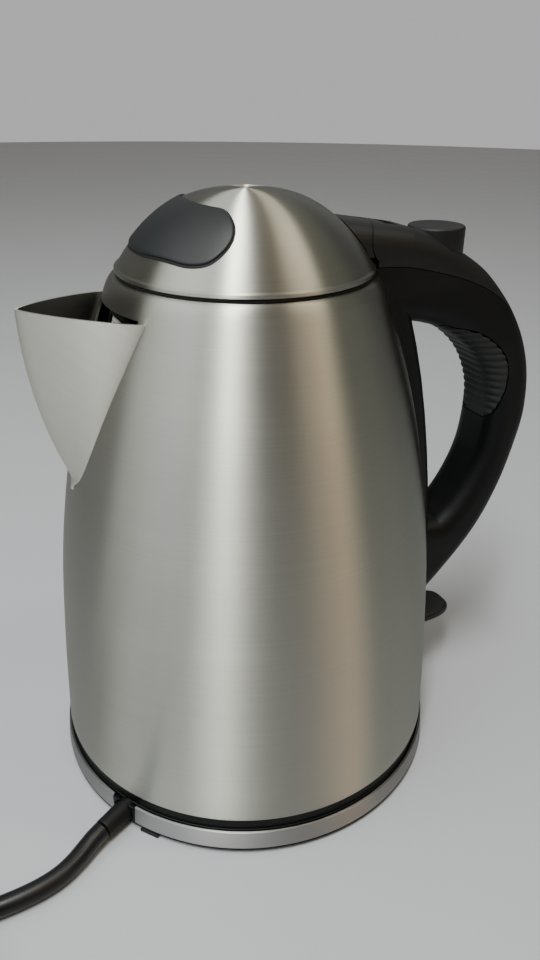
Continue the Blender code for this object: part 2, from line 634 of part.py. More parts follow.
def make_lid():
    outer = dome_profile(0.0)
    flange = [(FLANGE_R - 0.2, 201.7), (FLANGE_R, 201.3), (FLANGE_R, FLANGE_Z), (FLANGE_R - 1.0, FLANGE_Z)]
    inner = list(reversed(dome_profile(-0.8, 6)))
    turned("lid_dome", outer + flange + inner, STEEL)
    turned("lid_seal", [(38.4, 200.1), (45.0, 200.1), (45.0, 199.3), (41.2, 199.3), (40.8, 193.0),
                        (38.4, 193.0)], RUBBER, closed=True)
    turned("lid_inner", [(0, 198.6), (36.4, 198.6), (36.4, 199.7), (38.1, 199.7), (38.1, 188.0), (36.4, 188.0),
                         (36.4, 197.0), (0, 197.0)], PALE)


def pad_outline():
    """Soft-cornered shield seen from above, for the pad on the spout side."""
    half = [(21.1, 0.0), (20.8, 4.0), (19.8, 9.6), (17.6, 13.6), (15.4, 17.2), (14.8, 21.0), (15.2, 25.4),
            (17.0, 28.5), (20.2, 30.1), (24.4, 30.1), (27.8, 28.4), (31.3, 24.9), (34.3, 19.8), (37.0, 13.6),
            (38.9, 7.0)]
    rim = [(39.5, 0.0)]
    far = [(x, -y) for x, y in reversed(half[1:])]
    return [tuple(p) for p in smooth_points([(-x, y) for x, y in half + rim + far], 1, True)]


def make_pad():
    skin = dome_profile(PAD_RAISE) + list(reversed(dome_profile(GAP)))
    pad = turned("lid_pad", skin, SLATE, steps=48)
    prism = plate("pad_outline", [pad_outline()], 80, None, at=(0, 0, 230), cutter=True)
    boolean(pad, prism, "INTERSECT")


def make_hinge():
    """Block that fills the space behind the dome, with a web and a knuckle on the pin in the cover's slot."""
    x, z = HINGE
    arm = handle_solid("lid_hinge_arm", BLACK)
    boolean(arm, nose_zone("arm_front", HINGE_NOSE + 0.4, 202.6), "INTERSECT")
    dome = turned("dome_cut", dome_profile(0.4) + [(FLANGE_R + 0.4, 202.0), (FLANGE_R + 0.4, 190), (0, 190)], None,
                  cutter=True)
    boolean(arm, dome)
    web = [(45.2, 203.4), (x, 202.1), (x, 212.7), (45, 213.8), (42.4, 212.5), (42.2, z), (43.4, 204.6)]
    boolean(arm, plate("arm_web", [web], 10.4, None, upright=True, cutter=True), "UNION")
    boolean(arm, rod("knuckle", (x, -5.2, z), (x, 5.2, z), 5.4, None, sides=24, cutter=True), "UNION")
    boolean(arm, rod("knuckle_bore", (x, -9, z), (x, 9, z), 1.75, None, sides=16, cutter=True))
    rod("hinge_pin", (x, -10.4, z), (x, 11.8, z), 1.4, STEEL, sides=14)
    turns = 3
    coil = [(x + 2.55 * math.cos(a), 7.7 + 2.2 * a / (turns * 2 * math.pi), z + 2.55 * math.sin(a))
            for a in [2 * math.pi * turns * i / 30 for i in range(31)]]
    tube("lid_spring", coil, 0.35, STEEL, resolution=1)


def build():
    make_base()
    make_rim_tab()
    make_base_screws()
    make_gland()
    make_cord()
    make_plug()
    make_wall()
    make_spout()
    make_floor_and_heater()
    make_jug_underside()
    make_filter()
    wall_cut = wall_solid("handle_wall_cut", GAP)
    body = make_handle(wall_cut)
    make_grip(body)
    make_gauge(body)
    make_button()
    bracket = make_lever(wall_solid("lever_wall_cut", 1.0))
    boolean(bracket, wall_cut)
    make_lid()
    make_pad()
    make_hinge()


build()
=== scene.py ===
"""Visual model of a cordless electric kettle that stands on its round power base.

Lengths are in millimetres, and MM turns them into metres. They are in the frame of the CAD model: the origin
is the centre of the base on the table, +Z is up, the spout points to -X and the handle to +X.
"""

import math

import bmesh
import bpy
from mathutils import Matrix, Vector


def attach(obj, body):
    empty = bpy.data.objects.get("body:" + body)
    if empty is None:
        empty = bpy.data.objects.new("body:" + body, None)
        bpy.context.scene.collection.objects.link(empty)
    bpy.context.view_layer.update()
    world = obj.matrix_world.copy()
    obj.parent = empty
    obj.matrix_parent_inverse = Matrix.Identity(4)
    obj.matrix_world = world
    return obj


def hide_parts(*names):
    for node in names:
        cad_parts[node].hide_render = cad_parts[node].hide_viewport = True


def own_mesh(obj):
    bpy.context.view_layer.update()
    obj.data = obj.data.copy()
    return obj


MM = 0.001
GAP = 0.3  # air between pieces that touch
STEPS = 160  # facets round the large turned pieces
WELD = 0.004  # points closer than this become one

# Power base
BASE_R = 78.9
TRAY_R = 77.6
SCREW_RING = 58.0  # radius of the ring of screws under the jug
BAND_BOTTOM = 2.4
BAND_TOP = 9.9
EXIT_ANGLE = 209.0  # where the cord leaves the base, degrees from +X
EXIT_Z = 5.4
EXIT_R = 90.3  # where the strain relief ends
GLAND_R = 62.0  # where it starts, inside the base
PORT_HALF = 5.4  # half the width of the black block in the band
BOSS_R = 16.4
BOSS_TOP = 22.0

# Jug wall: outer radius at height, from the foot to the top of the shoulder
WALL = [(15.7, 77.3), (40.0, 76.4), (64.0, 75.1), (84.0, 73.7), (100.0, 72.0), (116.0, 69.7),
        (132.0, 66.9), (148.0, 63.6), (162.0, 59.9), (174.0, 56.1), (184.0, 52.8), (191.0, 50.4),
        (195.5, 48.7), (198.0, 47.2), (198.9, 45.8), (199.0, 43.4)]
WALL_THICK = 0.8
FLOOR_Z = 45.0

# Lid
DOME_R = 45.2
DOME_BASE_Z = 200.7
DOME_H = 26.0
DOME_ROUND = 2.7
DOME_FALL = 0.96
DOME_EDGE = 0.975  # part of the radius where the dome's curve meets its rim
FLANGE_R = 45.4
PAD_RAISE = 0.8
HINGE = (52.0, 207.5)  # x and z of the lid's pin
HINGE_NOSE = 8.5  # radius about the pin where the fixed cover ends
PIN_ROOM = 1.75  # radius of the holes for the pin
KNUCKLE_R = 5.4
KNUCKLE_HALF = 5.2

# Spout
SPOUT_TOP = 190.8
SPOUT_BOTTOM = 130.0
SPOUT_HALF = 23.0
SPOUT_REACH = 79.0
SPOUT_RISE = 2.9
SPOUT_FALL = 61.0  # height over which the ridge runs back towards the wall
SPOUT_LEAN = 12.0  # how far it runs back over that height
FILTER_AT = (-50.5, 0.0, 164.0)
FILTER_LEAN = 17.0

# Handle
HANDLE_W = 27.0
HANDLE_ROUND = 8.0
HANDLE_OUTER = [(62, 211.2), (72, 208), (80, 204.5), (90, 199), (100.5, 192), (111.5, 181), (119, 171),
                (124.5, 161), (128.5, 149.5), (130.3, 138), (130.3, 126), (127.2, 111), (123.4, 98),
                (118.2, 85.5), (112, 74.5), (104.3, 64.5), (95, 54.5), (88, 47.5)]
OPENING_LOOP = [(71, 174.4), (78, 172.2), (87, 168), (95, 162.3), (101.5, 155.5), (106, 148),
                (109, 140), (110.3, 131), (110, 121.5), (108.5, 112), (105.5, 103.5), (101, 95),
                (95.5, 87.5), (90, 82.3)]
SPINE_PROUD = 11.6
GAUGE_Z = (100.0, 160.0)
GRIP_FRONT = 114.6  # x of the grip's outer edge, where its ribs run out
RIB_PITCH = 3.3
RIB_DEPTH = 0.55
BUTTON_X = 80.0
BUTTON_R = 11.0
BUTTON_TOP = 209.7
SPRING_Z = (184.3, 195.5)
SPRING_R = 5.4
LEVER_Z = (26.2, 30.6)
LEVER_PIVOT = (81.4, 28.4)
LEVER_HALF = 10.6
LEVER_REACH = 106.0
LEVER_ROOT = 79.0  # x where its lobe starts

# Cord
CORD_D = 7.3
COIL_CENTRE = (-178.0, -98.0)
COIL_R = 40.0
COIL_LOW_Z = 4.85  # centre of the lower turn; the tie passes under it
COIL_TURNS = 1.75
TIE_ANGLE = 235.0
CORD_ROUTE = [(-79.0, -43.8, 5.4), (-82.4, -45.7, 5.0), (-86.5, -48.4, 4.3), (-91.5, -51.9, 3.8),
              (-97.5, -55.2, 3.7), (-104.5, -57.3, 3.7), (-112.0, -58.3, 3.7), (-120.5, -58.6, 3.7),
              (-129.5, -58.5, 3.8), (-138.5, -58.3, 4.0), (-147.0, -58.1, 4.4), (-155.0, -58.0, 4.8)]
TAIL_ROUTE = [(-138.2, -91.0, 12.2), (-138.6, -83.0, 12.3), (-138.8, -74.0, 12.4), (-138.8, -66.0, 12.4),
              (-138.8, -58.0, 12.0), (-138.9, -50.0, 10.6), (-139.4, -42.0, 8.6), (-140.8, -34.0, 7.4),
              (-143.4, -26.6, 7.3), (-147.6, -20.2, 7.6), (-152.6, -15.0, 8.2), (-158.2, -10.6, 8.8)]
PLUG_CENTRE = (-189.0, 12.5)
PLUG_ANGLE = -37.0  # direction of the plug's cable entry, degrees from +X
PLUG_AXIS_Z = 8.6
CLIP_OUT = 17.4  # from the plug's axis to its earth clips
PRONG_OUT = 9.5  # and to its prongs

# Camera
CAMERA_AT = (-117.6, -264.2, 264.0)
CAMERA_LOOK = (0.3892, 0.8017, -0.4537)
CAMERA_ROLL = 0.0136
CAMERA_LENS = 30.75

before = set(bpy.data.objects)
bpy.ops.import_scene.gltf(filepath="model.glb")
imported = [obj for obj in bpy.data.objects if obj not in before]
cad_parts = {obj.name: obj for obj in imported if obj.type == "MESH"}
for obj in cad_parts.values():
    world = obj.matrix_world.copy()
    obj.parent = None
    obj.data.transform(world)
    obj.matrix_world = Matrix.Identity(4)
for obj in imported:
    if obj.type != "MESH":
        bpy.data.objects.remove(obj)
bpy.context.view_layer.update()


# ---- shapes ----

def finish_mesh(mesh, angle=35.0):
    """Smooth shading, with edges sharper than the angle kept crisp."""
    mesh.shade_smooth()
    mesh.set_sharp_from_angle(angle=math.radians(angle))


def link(name, data, mat=None):
    """New object in the scene that shows a mesh, curve, light or camera."""
    obj = bpy.data.objects.new(name, data)
    bpy.context.scene.collection.objects.link(obj)
    if mat:
        data.materials.append(mat)
    return obj


def solid(name, bm, mat=None):
    """New object with the bmesh's shape; the bmesh is freed."""
    mesh = bpy.data.meshes.new(name)
    bm.to_mesh(mesh)
    bm.free()
    return link(name, mesh, mat)


def settle(obj, angle=35.0):
    """Turn an object with its modifiers, or a curve, into a plain clean mesh in the frame's own axes."""
    bpy.context.view_layer.update()
    depsgraph = bpy.context.evaluated_depsgraph_get()
    mesh = bpy.data.meshes.new_from_object(obj.evaluated_get(depsgraph))
    mesh.transform(obj.matrix_world)
    bm = bmesh.new()
    bm.from_mesh(mesh)
    bmesh.ops.remove_doubles(bm, verts=bm.verts, dist=WELD * MM)
    loose = [v for v in bm.verts if not v.link_faces]
    bmesh.ops.delete(bm, geom=loose, context="VERTS")
    bmesh.ops.recalc_face_normals(bm, faces=bm.faces)
    bm.to_mesh(mesh)
    bm.free()
    name = obj.name
    looks = list(obj.data.materials)
    drop(obj)
    if list(mesh.materials) != looks:
        mesh.materials.clear()
        for look in looks:
            mesh.materials.append(look)
    finish_mesh(mesh, angle)
    made = link(name, mesh)
    mesh.name = name
    return made


def smooth_points(points, between, closed=False):
    """Catmull-Rom curve through the points, with some points between each two."""
    pts = [Vector(p) for p in points]
    count = len(pts)
    spans = count if closed else count - 1
    out = []
    for i in range(spans):
        p1, p2 = pts[i], pts[(i + 1) % count]
        p0 = pts[i - 1] if (closed or i > 0) else p1 * 2 - p2
        p3 = pts[(i + 2) % count] if (closed or i + 2 < count) else p2 * 2 - p1
        for k in range(between + 1):
            t = k / (between + 1)
            out.append(0.5 * (2 * p1 + (p2 - p0) * t + (2 * p0 - 5 * p1 + 4 * p2 - p3) * t ** 2
                              + (3 * p1 - p0 - 3 * p2 + p3) * t ** 3))
    if not closed:
        out.append(pts[-1])
    return [tuple(p) for p in out]


def filleted(points, radius, closed=False, segments=3):
    """The outline with each corner rounded to the radius, or to less where its sides are short."""
    pts = [Vector(p) for p in points]
    count = len(pts)
    out = []
    for i, here in enumerate(pts):
        if not closed and i in (0, count - 1):
            out.append(here)
            continue
        before, after = pts[i - 1] - here, pts[(i + 1) % count] - here
        reach = min(radius, before.length * 0.45, after.length * 0.45)
        a, b = here + before.normalized() * reach, here + after.normalized() * reach
        for k in range(segments + 1):
            t = k / segments
            out.append(a * (1 - t) ** 2 + here * 2 * t * (1 - t) + b * t ** 2)
    return out


def turned(name, profile, mat=None, steps=STEPS, closed=False, at=(0, 0, 0), fillet=0.0):
    """Solid of revolution about Z. The profile is (radius, z) points; a closed one joins its two ends."""
    profile = filleted(profile, fillet, closed) if fillet else profile
    bm = bmesh.new()
    verts = [bm.verts.new((r * MM, 0.0, z * MM)) for r, z in profile]
    for first, second in zip(verts, verts[1:]):
        bm.edges.new((first, second))
    if closed:
        bm.edges.new((verts[-1], verts[0]))
    obj = solid(name, bm, mat)
    obj.location = Vector(at) * MM
    screw = obj.modifiers.new("turn", "SCREW")
    screw.steps = steps
    screw.render_steps = steps
    screw.use_merge_vertices = True
    screw.merge_threshold = WELD * MM
    return obj


def plate(name, outlines, thickness, mat=None, rounding=0.0, upright=False, at=(0, 0, 0), turn=0.0,
          grow=0.0, resolution=5):
    """Flat outline with thickness, centred on its plane: XY, or XZ when upright. Grow moves its rim out."""
    data = bpy.data.curves.new(name + "_outline", "CURVE")
    data.dimensions = "2D"
    data.fill_mode = "BOTH"
    data.extrude = (thickness / 2 - rounding) * MM
    if rounding:
        data.bevel_depth = rounding * MM
        data.bevel_resolution = resolution
    data.offset = (grow - rounding) * MM
    for outline in outlines:
        spline = data.splines.new("POLY")
        spline.points.add(len(outline) - 1)
        for point, (x, y) in zip(spline.points, outline):
            point.co = (x * MM, y * MM, 0.0, 1.0)
        spline.use_cyclic_u = True
    curve = link(name, data, mat)
    curve.location = Vector(at) * MM
    curve.rotation_euler = (math.pi / 2 if upright else 0.0, 0.0, turn)
    return settle(curve)


def side_cutter(name, outline, grow=0.0):
    """Cutter with an outline seen from the side, thick enough to go right through the handle."""
    return plate(name, [outline], 60.0, upright=True, grow=grow)


def tube(name, points, radius, mat=None, resolution=4):
    """Round tube along points, as a curve with one open line."""
    data = bpy.data.curves.new(name, "CURVE")
    data.dimensions = "3D"
    data.bevel_depth = radius * MM
    data.bevel_resolution = resolution
    data.use_fill_caps = True
    spline = data.splines.new("POLY")
    spline.points.add(len(points) - 1)
    for point, place in zip(spline.points, points):
        point.co = (*(Vector(place) * MM), 1.0)
    spline.use_smooth = True
    return link(name, data, mat)


def box(name, low, high, mat=None, bevel=0.0, matrix=None):
    """Block between two corners, with its edges rounded by the bevel, moved by the matrix."""
    bm = bmesh.new()
    bmesh.ops.create_cube(bm, size=1.0)
    bmesh.ops.scale(bm, vec=[(b - a) * MM for a, b in zip(low, high)], verts=bm.verts)
    bmesh.ops.translate(bm, vec=[(a + b) / 2 * MM for a, b in zip(low, high)], verts=bm.verts)
    obj = solid(name, bm, mat)
    if bevel:
        edge = obj.modifiers.new("edges", "BEVEL")
        edge.width = bevel * MM
        edge.segments = 3
    if matrix:
        obj.matrix_world = matrix
    return obj


def rod(radius, high, low=0.0):
    """Profile of a plain round bar, for turned."""
    return [(0, high), (radius, high), (radius, low), (0, low)]


def along(obj, start, end):
    """Lay an object that was made along +Z from the origin on the line from start to end."""
    a, b = Vector(start) * MM, Vector(end) * MM
    obj.location = a
    obj.rotation_mode = "QUATERNION"
    obj.rotation_quaternion = (b - a).to_track_quat("Z", "Y")
    return obj


def boolean(target, cutter, operation="DIFFERENCE"):
    cut = target.modifiers.new(operation.lower(), "BOOLEAN")
    cut.operation = operation
    cut.object = cutter
    cut.solver = "EXACT"


def cut_out(target, *cutters, angle=35.0):
    """Cut the cutters out of the target and settle it; the cutters stay for other pieces."""
    for cutter in cutters:
        boolean(target, cutter)
    return settle(target, angle)


def drop(*objs):
    for obj in objs:
        bpy.data.objects.remove(obj, do_unlink=True)


def polar(radius, degrees, z=0.0):
    angle = math.radians(degrees)
    return (radius * math.cos(angle), radius * math.sin(angle), z)


def at_angle(x, y, turn):
    """Matrix that turns about the vertical axis and then moves to a place in the plan."""
    return Matrix.Translation((x * MM, y * MM, 0)) @ Matrix.Rotation(turn, 4, "Z")


def place(obj, body, *nodes, slot=None):
    """The piece rides on the body and stands for the CAD nodes; the slot is not used."""
    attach(obj, body)
    if nodes:
        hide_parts(*nodes)
    return obj


def wall_radius(z):
    """Outer radius of the jug wall at a height."""
    if z <= WALL[0][0]:
        return WALL[0][1]
    for (z0, r0), (z1, r1) in zip(WALL, WALL[1:]):
        if z <= z1:
            return r0 + (r1 - r0) * (z - z0) / (z1 - z0)
    return WALL[-1][1]


def dome_point(part):
    """Radius and height of the dome's outer side at a part of its radius."""
    return DOME_R * part, DOME_BASE_Z + DOME_H * (1.0 - part ** DOME_ROUND) ** DOME_FALL


def dome_normal(part):
    """Direction straight off the dome's outer side at a part of its radius, as (outwards, upwards)."""
    (r0, z0), (r1, z1) = dome_point(part - 0.004), dome_point(part + 0.004)
    length = math.hypot(r1 - r0, z1 - z0)
    return (z0 - z1) / length, (r1 - r0) / length


def dome_profile(grow, count):
    """Outer side of the dome from the apex down, moved outwards by grow."""
    points = [(0.0, DOME_BASE_Z + DOME_H + grow)]
    for i in range(1, count + 1):
        part = DOME_EDGE * math.sin(math.pi / 2 * i / count)
        (r, z), (out, up) = dome_point(part), dome_normal(part)
        points.append((r + grow * out, z + grow * up))
    return points


# ---- materials ----

def look(name, colour, roughness, metallic=0.0):
    """New material, its node tree, its shader with the plain values set, and its object coordinates."""
    mat = bpy.data.materials.new(name)
    mat.use_nodes = True
    shader = mat.node_tree.nodes["Principled BSDF"]
    shader.inputs["Base Color"].default_value = (*colour, 1.0)
    shader.inputs["Roughness"].default_value = roughness
    shader.inputs["Metallic"].default_value = metallic
    spot = put(mat.node_tree, "TexCoord").outputs["Object"]
    return mat, mat.node_tree, shader, spot


def put(tree, kind, inputs=None, **settings):
    """Add a shader node; an input's value is a number, a vector or another node's output."""
    made = tree.nodes.new("ShaderNode" + kind)
    for key, value in settings.items():
        setattr(made, key, value)
    for key, value in (inputs or {}).items():
        if isinstance(value, bpy.types.NodeSocket):
            tree.links.new(value, made.inputs[key])
        else:
            made.inputs[key].default_value = value
    return made


def maths(tree, operation, a, b):
    return put(tree, "Math", {0: a, 1: b}, operation=operation).outputs[0]


def noise(tree, vector, scale, detail=3.0, roughness=0.55):
    made = put(tree, "TexNoise",
               {"Vector": vector, "Scale": scale, "Detail": detail, "Roughness": roughness})
    return made.outputs["Fac"]


def spread(tree, value, low, high, start=0.3, end=0.7):
    """Map a value from start..end to low..high, and keep it between them."""
    made = put(tree, "MapRange",
               {"Value": value, "From Min": start, "From Max": end, "To Min": low, "To Max": high})
    return made.outputs["Result"]


def mix(tree, factor, a, b):
    return put(tree, "Mix", {0: factor, 6: (*a, 1.0), 7: (*b, 1.0)}, data_type="RGBA").outputs[2]


def bump(tree, shader, height, strength, distance):
    made = put(tree, "Bump", {"Height": height, "Strength": strength, "Distance": distance})
    tree.links.new(made.outputs["Normal"], shader.inputs["Normal"])


def brushed_steel(name, colour, roughness, anisotropic=1.0, grain=1.0):
    """Steel brushed around the vertical axis: fine rings of grain, and highlights drawn out across them."""
    mat, tree, shader, spot = look(name, colour, roughness, 1.0)
    parts = put(tree, "SeparateXYZ", {0: spot}).outputs
    flat = put(tree, "CombineXYZ", {0: parts["X"], 1: parts["Y"], 2: 0.0}).outputs[0]
    radius = put(tree, "VectorMath", {0: flat}, operation="LENGTH").outputs["Value"]
    down = maths(tree, "SUBTRACT", radius, parts["Z"])
    fine = put(tree, "CombineXYZ",
               {0: maths(tree, "MULTIPLY", parts["X"], 10.0), 1: maths(tree, "MULTIPLY", parts["Y"], 10.0),
                2: maths(tree, "MULTIPLY", down, 2600.0 * grain)}).outputs[0]
    lines = noise(tree, fine, 1.0, 4.0, 0.7)
    cloud = noise(tree, spot, 30.0, 3.0, 0.6)
    tone = maths(tree, "ADD", maths(tree, "MULTIPLY", lines, 0.8), maths(tree, "MULTIPLY", cloud, 0.2))
    dark, light = [tuple(c * k for c in colour) for k in (0.91, 1.05)]
    tree.links.new(mix(tree, spread(tree, tone, 0.0, 1.0), dark, light), shader.inputs["Base Color"])
    tree.links.new(spread(tree, tone, roughness - 0.03, roughness + 0.04), shader.inputs["Roughness"])
    bump(tree, shader, lines, 0.12, 0.00002)
    shader.inputs["Anisotropic"].default_value = anisotropic
    upward = put(tree, "VectorTransform", {0: (0.0, 0.0, 1.0)},
                 vector_type="VECTOR", convert_from="OBJECT", convert_to="WORLD")
    tree.links.new(upward.outputs[0], shader.inputs["Tangent"])
    return mat


def moulded(name, colour, roughness, grain=0.4, depth=0.02, wear=0.5, specular=0.5):
    """Moulded plastic: a fine pitted grain, soft changes of gloss, and edges rubbed a little lighter."""
    mat, tree, shader, spot = look(name, colour, roughness)
    pits = noise(tree, spot, 1.0 / (grain * MM), 2.0, 0.5)
    cloud = noise(tree, spot, 38.0, 3.0)
    edges = spread(tree, put(tree, "NewGeometry").outputs["Pointiness"], 0.0, 1.0, 0.51, 0.62)
    rubbed = maths(tree, "MULTIPLY", edges, spread(tree, cloud, 0.2 * wear, wear))
    lighter = tuple(min(c * 1.9 + 0.012, 1.0) for c in colour)
    tree.links.new(mix(tree, rubbed, colour, lighter), shader.inputs["Base Color"])
    tree.links.new(spread(tree, cloud, roughness - 0.06, roughness + 0.06), shader.inputs["Roughness"])
    shader.inputs["Specular IOR Level"].default_value = specular
    bump(tree, shader, pits, 0.35, depth * MM)
    return mat


def cast_metal(name, colour, roughness, scale=900.0):
    """Plain metal part with a slightly uneven, handled surface."""
    mat, tree, shader, spot = look(name, colour, roughness, 1.0)
    cloud = noise(tree, spot, 60.0, 4.0)
    dark = tuple(c * 0.82 for c in colour)
    tree.links.new(mix(tree, spread(tree, cloud, 0.0, 1.0), dark, colour), shader.inputs["Base Color"])
    tree.links.new(spread(tree, cloud, roughness - 0.07, roughness + 0.09), shader.inputs["Roughness"])
    bump(tree, shader, noise(tree, spot, scale, 3.0), 0.2, 0.00002)
    return mat


def clear_plastic(name):
    mat, tree, shader, spot = look(name, (0.82, 0.88, 0.9), 0.12)
    shader.inputs["Transmission Weight"].default_value = 0.9
    shader.inputs["IOR"].default_value = 1.49
    tree.links.new(spread(tree, noise(tree, spot, 300.0), 0.06, 0.18), shader.inputs["Roughness"])
    return mat


STEEL = brushed_steel("brushed_steel", (0.455, 0.455, 0.405), 0.42)
# lighter copy of the wall's steel for the spout's outer side and rim: painted light
SPOUT_LIT_STEEL = brushed_steel("spout_steel_painted_light", (0.60, 0.59, 0.53), 0.42, 0.8)
# dark copy of the steel for the spout's inner side: painted shade
SPOUT_SHADE_STEEL = brushed_steel("spout_inside_painted_shade", (0.10, 0.10, 0.095), 0.5, 0.8)
BAND_STEEL = brushed_steel("band_steel", (0.33, 0.33, 0.325), 0.48, 0.9, 1.6)
WIRE_STEEL = cast_metal("spring_steel", (0.6, 0.6, 0.6), 0.3)
BLACK = moulded("black_plastic", (0.0012, 0.0016, 0.0018), 0.50, specular=0.2)
COVER = moulded("cover_plastic", (0.0055, 0.0058, 0.006), 0.50, grain=0.5, depth=0.03, specular=0.3)
SLATE = moulded("slate_plastic", (0.009, 0.0105, 0.0115), 0.46, grain=0.45, depth=0.03, wear=0.3,
                specular=0.3)
GRIP = moulded("grip_rubber", (0.016, 0.0185, 0.018), 0.62, grain=0.3, depth=0.015, wear=0.6, specular=0.3)
RUBBER = moulded("rubber", (0.004, 0.004, 0.0042), 0.6, grain=0.25, depth=0.02, wear=0.4, specular=0.25)
PVC = moulded("cord_sheath", (0.004, 0.0042, 0.0048), 0.38, grain=0.9, depth=0.03, wear=0.15, specular=0.35)
BRASS = cast_metal("brass", (0.74, 0.56, 0.26), 0.32)
NICKEL = cast_metal("nickel", (0.7, 0.68, 0.64), 0.25)
ALUMINIUM = cast_metal("aluminium", (0.74, 0.74, 0.75), 0.42, 500.0)
PALE = moulded("pale_plastic", (0.72, 0.71, 0.67), 0.45, grain=0.5, depth=0.015, wear=0.2)
CLEAR = clear_plastic("clear_window")


# ---- camera, lights and table ----

def make_camera():
    forward = Vector(CAMERA_LOOK).normalized()
    side = forward.cross(Vector((0, 0, 1))).normalized()
    above = side.cross(forward)
    c, s = math.cos(CAMERA_ROLL), math.sin(CAMERA_ROLL)
    right, up = side * c + above * s, above * c - side * s
    data = bpy.data.cameras.new("camera")
    data.lens = CAMERA_LENS
    data.sensor_width = 36.0
    data.clip_start = 0.01
    camera = link("camera", data)
    rows = Matrix((right, up, -forward)).transposed().to_4x4()
    rows.translation = Vector(CAMERA_AT) * MM
    camera.matrix_world = rows
    bpy.context.scene.camera = camera


def softbox(name, azimuth, elevation, distance, size, power, colour):
    """Area light that faces the kettle from a direction; size is its width and height in metres."""
    data = bpy.data.lights.new(name, "AREA")
    data.shape = "RECTANGLE"
    data.size, data.size_y = size
    data.energy = power
    data.color = colour
    obj = link(name, data)
    level = math.cos(math.radians(elevation))
    x, y, _ = polar(distance * level, azimuth)
    obj.location = (x, y, 0.1 + distance * math.sin(math.radians(elevation)))
    aim = Vector((0, 0, 0.11)) - obj.location
    obj.rotation_euler = aim.to_track_quat("-Z", "Y").to_euler()
    obj.visible_camera = False


# The room's brightness all round, as (degrees right of the camera, red, green, blue)
ROOM = [(-180, 0.28, 0.28, 0.28), (-125, 0.13, 0.13, 0.12), (-92, 0.04, 0.04, 0.03), (-68, 0.20, 0.20, 0.17),
        (-50, 0.27, 0.33, 0.48), (-37, 0.06, 0.06, 0.03), (-31, 0.36, 0.38, 0.34), (-25, 1.7, 1.8, 1.8),
        (-16, 1.8, 1.85, 1.8), (-12, 0.20, 0.18, 0.15), (-4, 0.01, 0.005, 0.0), (40, 0.02, 0.01, 0.0),
        (45, 0.28, 0.18, 0.07), (52, 0.22, 0.12, 0.03), (60, 1.40, 0.60, 0.14), (68, 0.75, 0.66, 0.42),
        (75, 0.02, 0.02, 0.01), (100, 0.22, 0.22, 0.17), (126, 0.03, 0.03, 0.03), (160, 0.28, 0.28, 0.28)]
CEILING = (0.24, 0.235, 0.215)
CAMERA_AZIMUTH = -114.0
BACKDROP = (0.50, 0.50, 0.505)


def make_world():
    """Soft room light with a bright strip beside the camera; the camera itself sees a plain pale wall."""
    world = bpy.data.worlds.new("room")
    bpy.context.scene.world = world
    world.use_nodes = True
    tree = world.node_tree
    tree.nodes.clear()
    toward = put(tree, "TexCoord").outputs["Generated"]
    parts = put(tree, "SeparateXYZ", {0: toward}).outputs
    turn = math.radians(CAMERA_AZIMUTH)
    c, s = math.cos(turn), math.sin(turn)
    ahead = maths(tree, "ADD", maths(tree, "MULTIPLY", parts["X"], c), maths(tree, "MULTIPLY", parts["Y"], s))
    aside = maths(tree, "SUBTRACT", maths(tree, "MULTIPLY", parts["Y"], c),
                  maths(tree, "MULTIPLY", parts["X"], s))
    angle = maths(tree, "ARCTAN2", aside, ahead)
    share = maths(tree, "MULTIPLY_ADD", angle, 0.5 / math.pi)
    share.node.inputs[2].default_value = 0.5
    ramp = put(tree, "ValToRGB", {0: share})
    stops = ramp.color_ramp.elements
    while len(stops) < len(ROOM):
        stops.new(0.5)
    for stop, (degrees, *tone) in zip(stops, ROOM):
        stop.position = (degrees + 180.0) / 360.0
        stop.color = (*tone, 1.0)
    rise = spread(tree, parts["Z"], 0.25, 2.1, -0.05, 0.8)
    upper = spread(tree, parts["Z"], 0.0, 0.55, 0.55, 0.9)
    tone = put(tree, "Mix", {0: upper, 6: ramp.outputs[0], 7: (*CEILING, 1.0)}, data_type="RGBA")
    room = put(tree, "Background", {0: tone.outputs[2], 1: rise})
    plain = put(tree, "Background", {0: (*BACKDROP, 1.0), 1: 1.0})
    seen = put(tree, "LightPath").outputs["Is Camera Ray"]
    both = put(tree, "MixShader", {0: seen, 1: room.outputs[0], 2: plain.outputs[0]})
    out = put(tree, "OutputWorld")
    tree.links.new(both.outputs[0], out.inputs["Surface"])


def make_floor():
    mat, tree, shader, spot = look("pale_table", (0.37, 0.385, 0.405), 0.45)
    cloud = noise(tree, spot, 14.0, 4.0)
    tree.links.new(spread(tree, cloud, 0.36, 0.50), shader.inputs["Roughness"])
    bm = bmesh.new()
    bmesh.ops.create_circle(bm, cap_ends=True, segments=96, radius=3.0)
    solid("table", bm, mat)


def make_lights():
    softbox("key", 182.0, 48.0, 1.1, (1.0, 0.8), 8.0, (0.97, 0.99, 1.0))
    softbox("overhead_strip", CAMERA_AZIMUTH - 17.0, 70.0, 1.3, (0.14, 0.9), 19.0, (1.0, 1.0, 0.98))
    softbox("side_strip", CAMERA_AZIMUTH + 84.0, 60.0, 1.3, (0.10, 0.5), 3.0, (1.0, 0.98, 0.86))


# ---- cord and plug ----

def coil_points():
    """Turns of the coil, from the north point of the ring on round; the end of each turn climbs one cord."""
    count = int(60 * COIL_TURNS)
    points = []
    for i in range(1, count + 1):
        turn = COIL_TURNS * i / count
        climb = min(max((turn - 0.76) / 0.22, 0.0), 1.0)
        lift = (CORD_D + 0.1) * climb * climb * (3 - 2 * climb)
        x, y, _ = polar(COIL_R, 90 + 360 * turn)
        points.append((COIL_CENTRE[0] + x, COIL_CENTRE[1] + y, COIL_LOW_Z + lift))
    return points


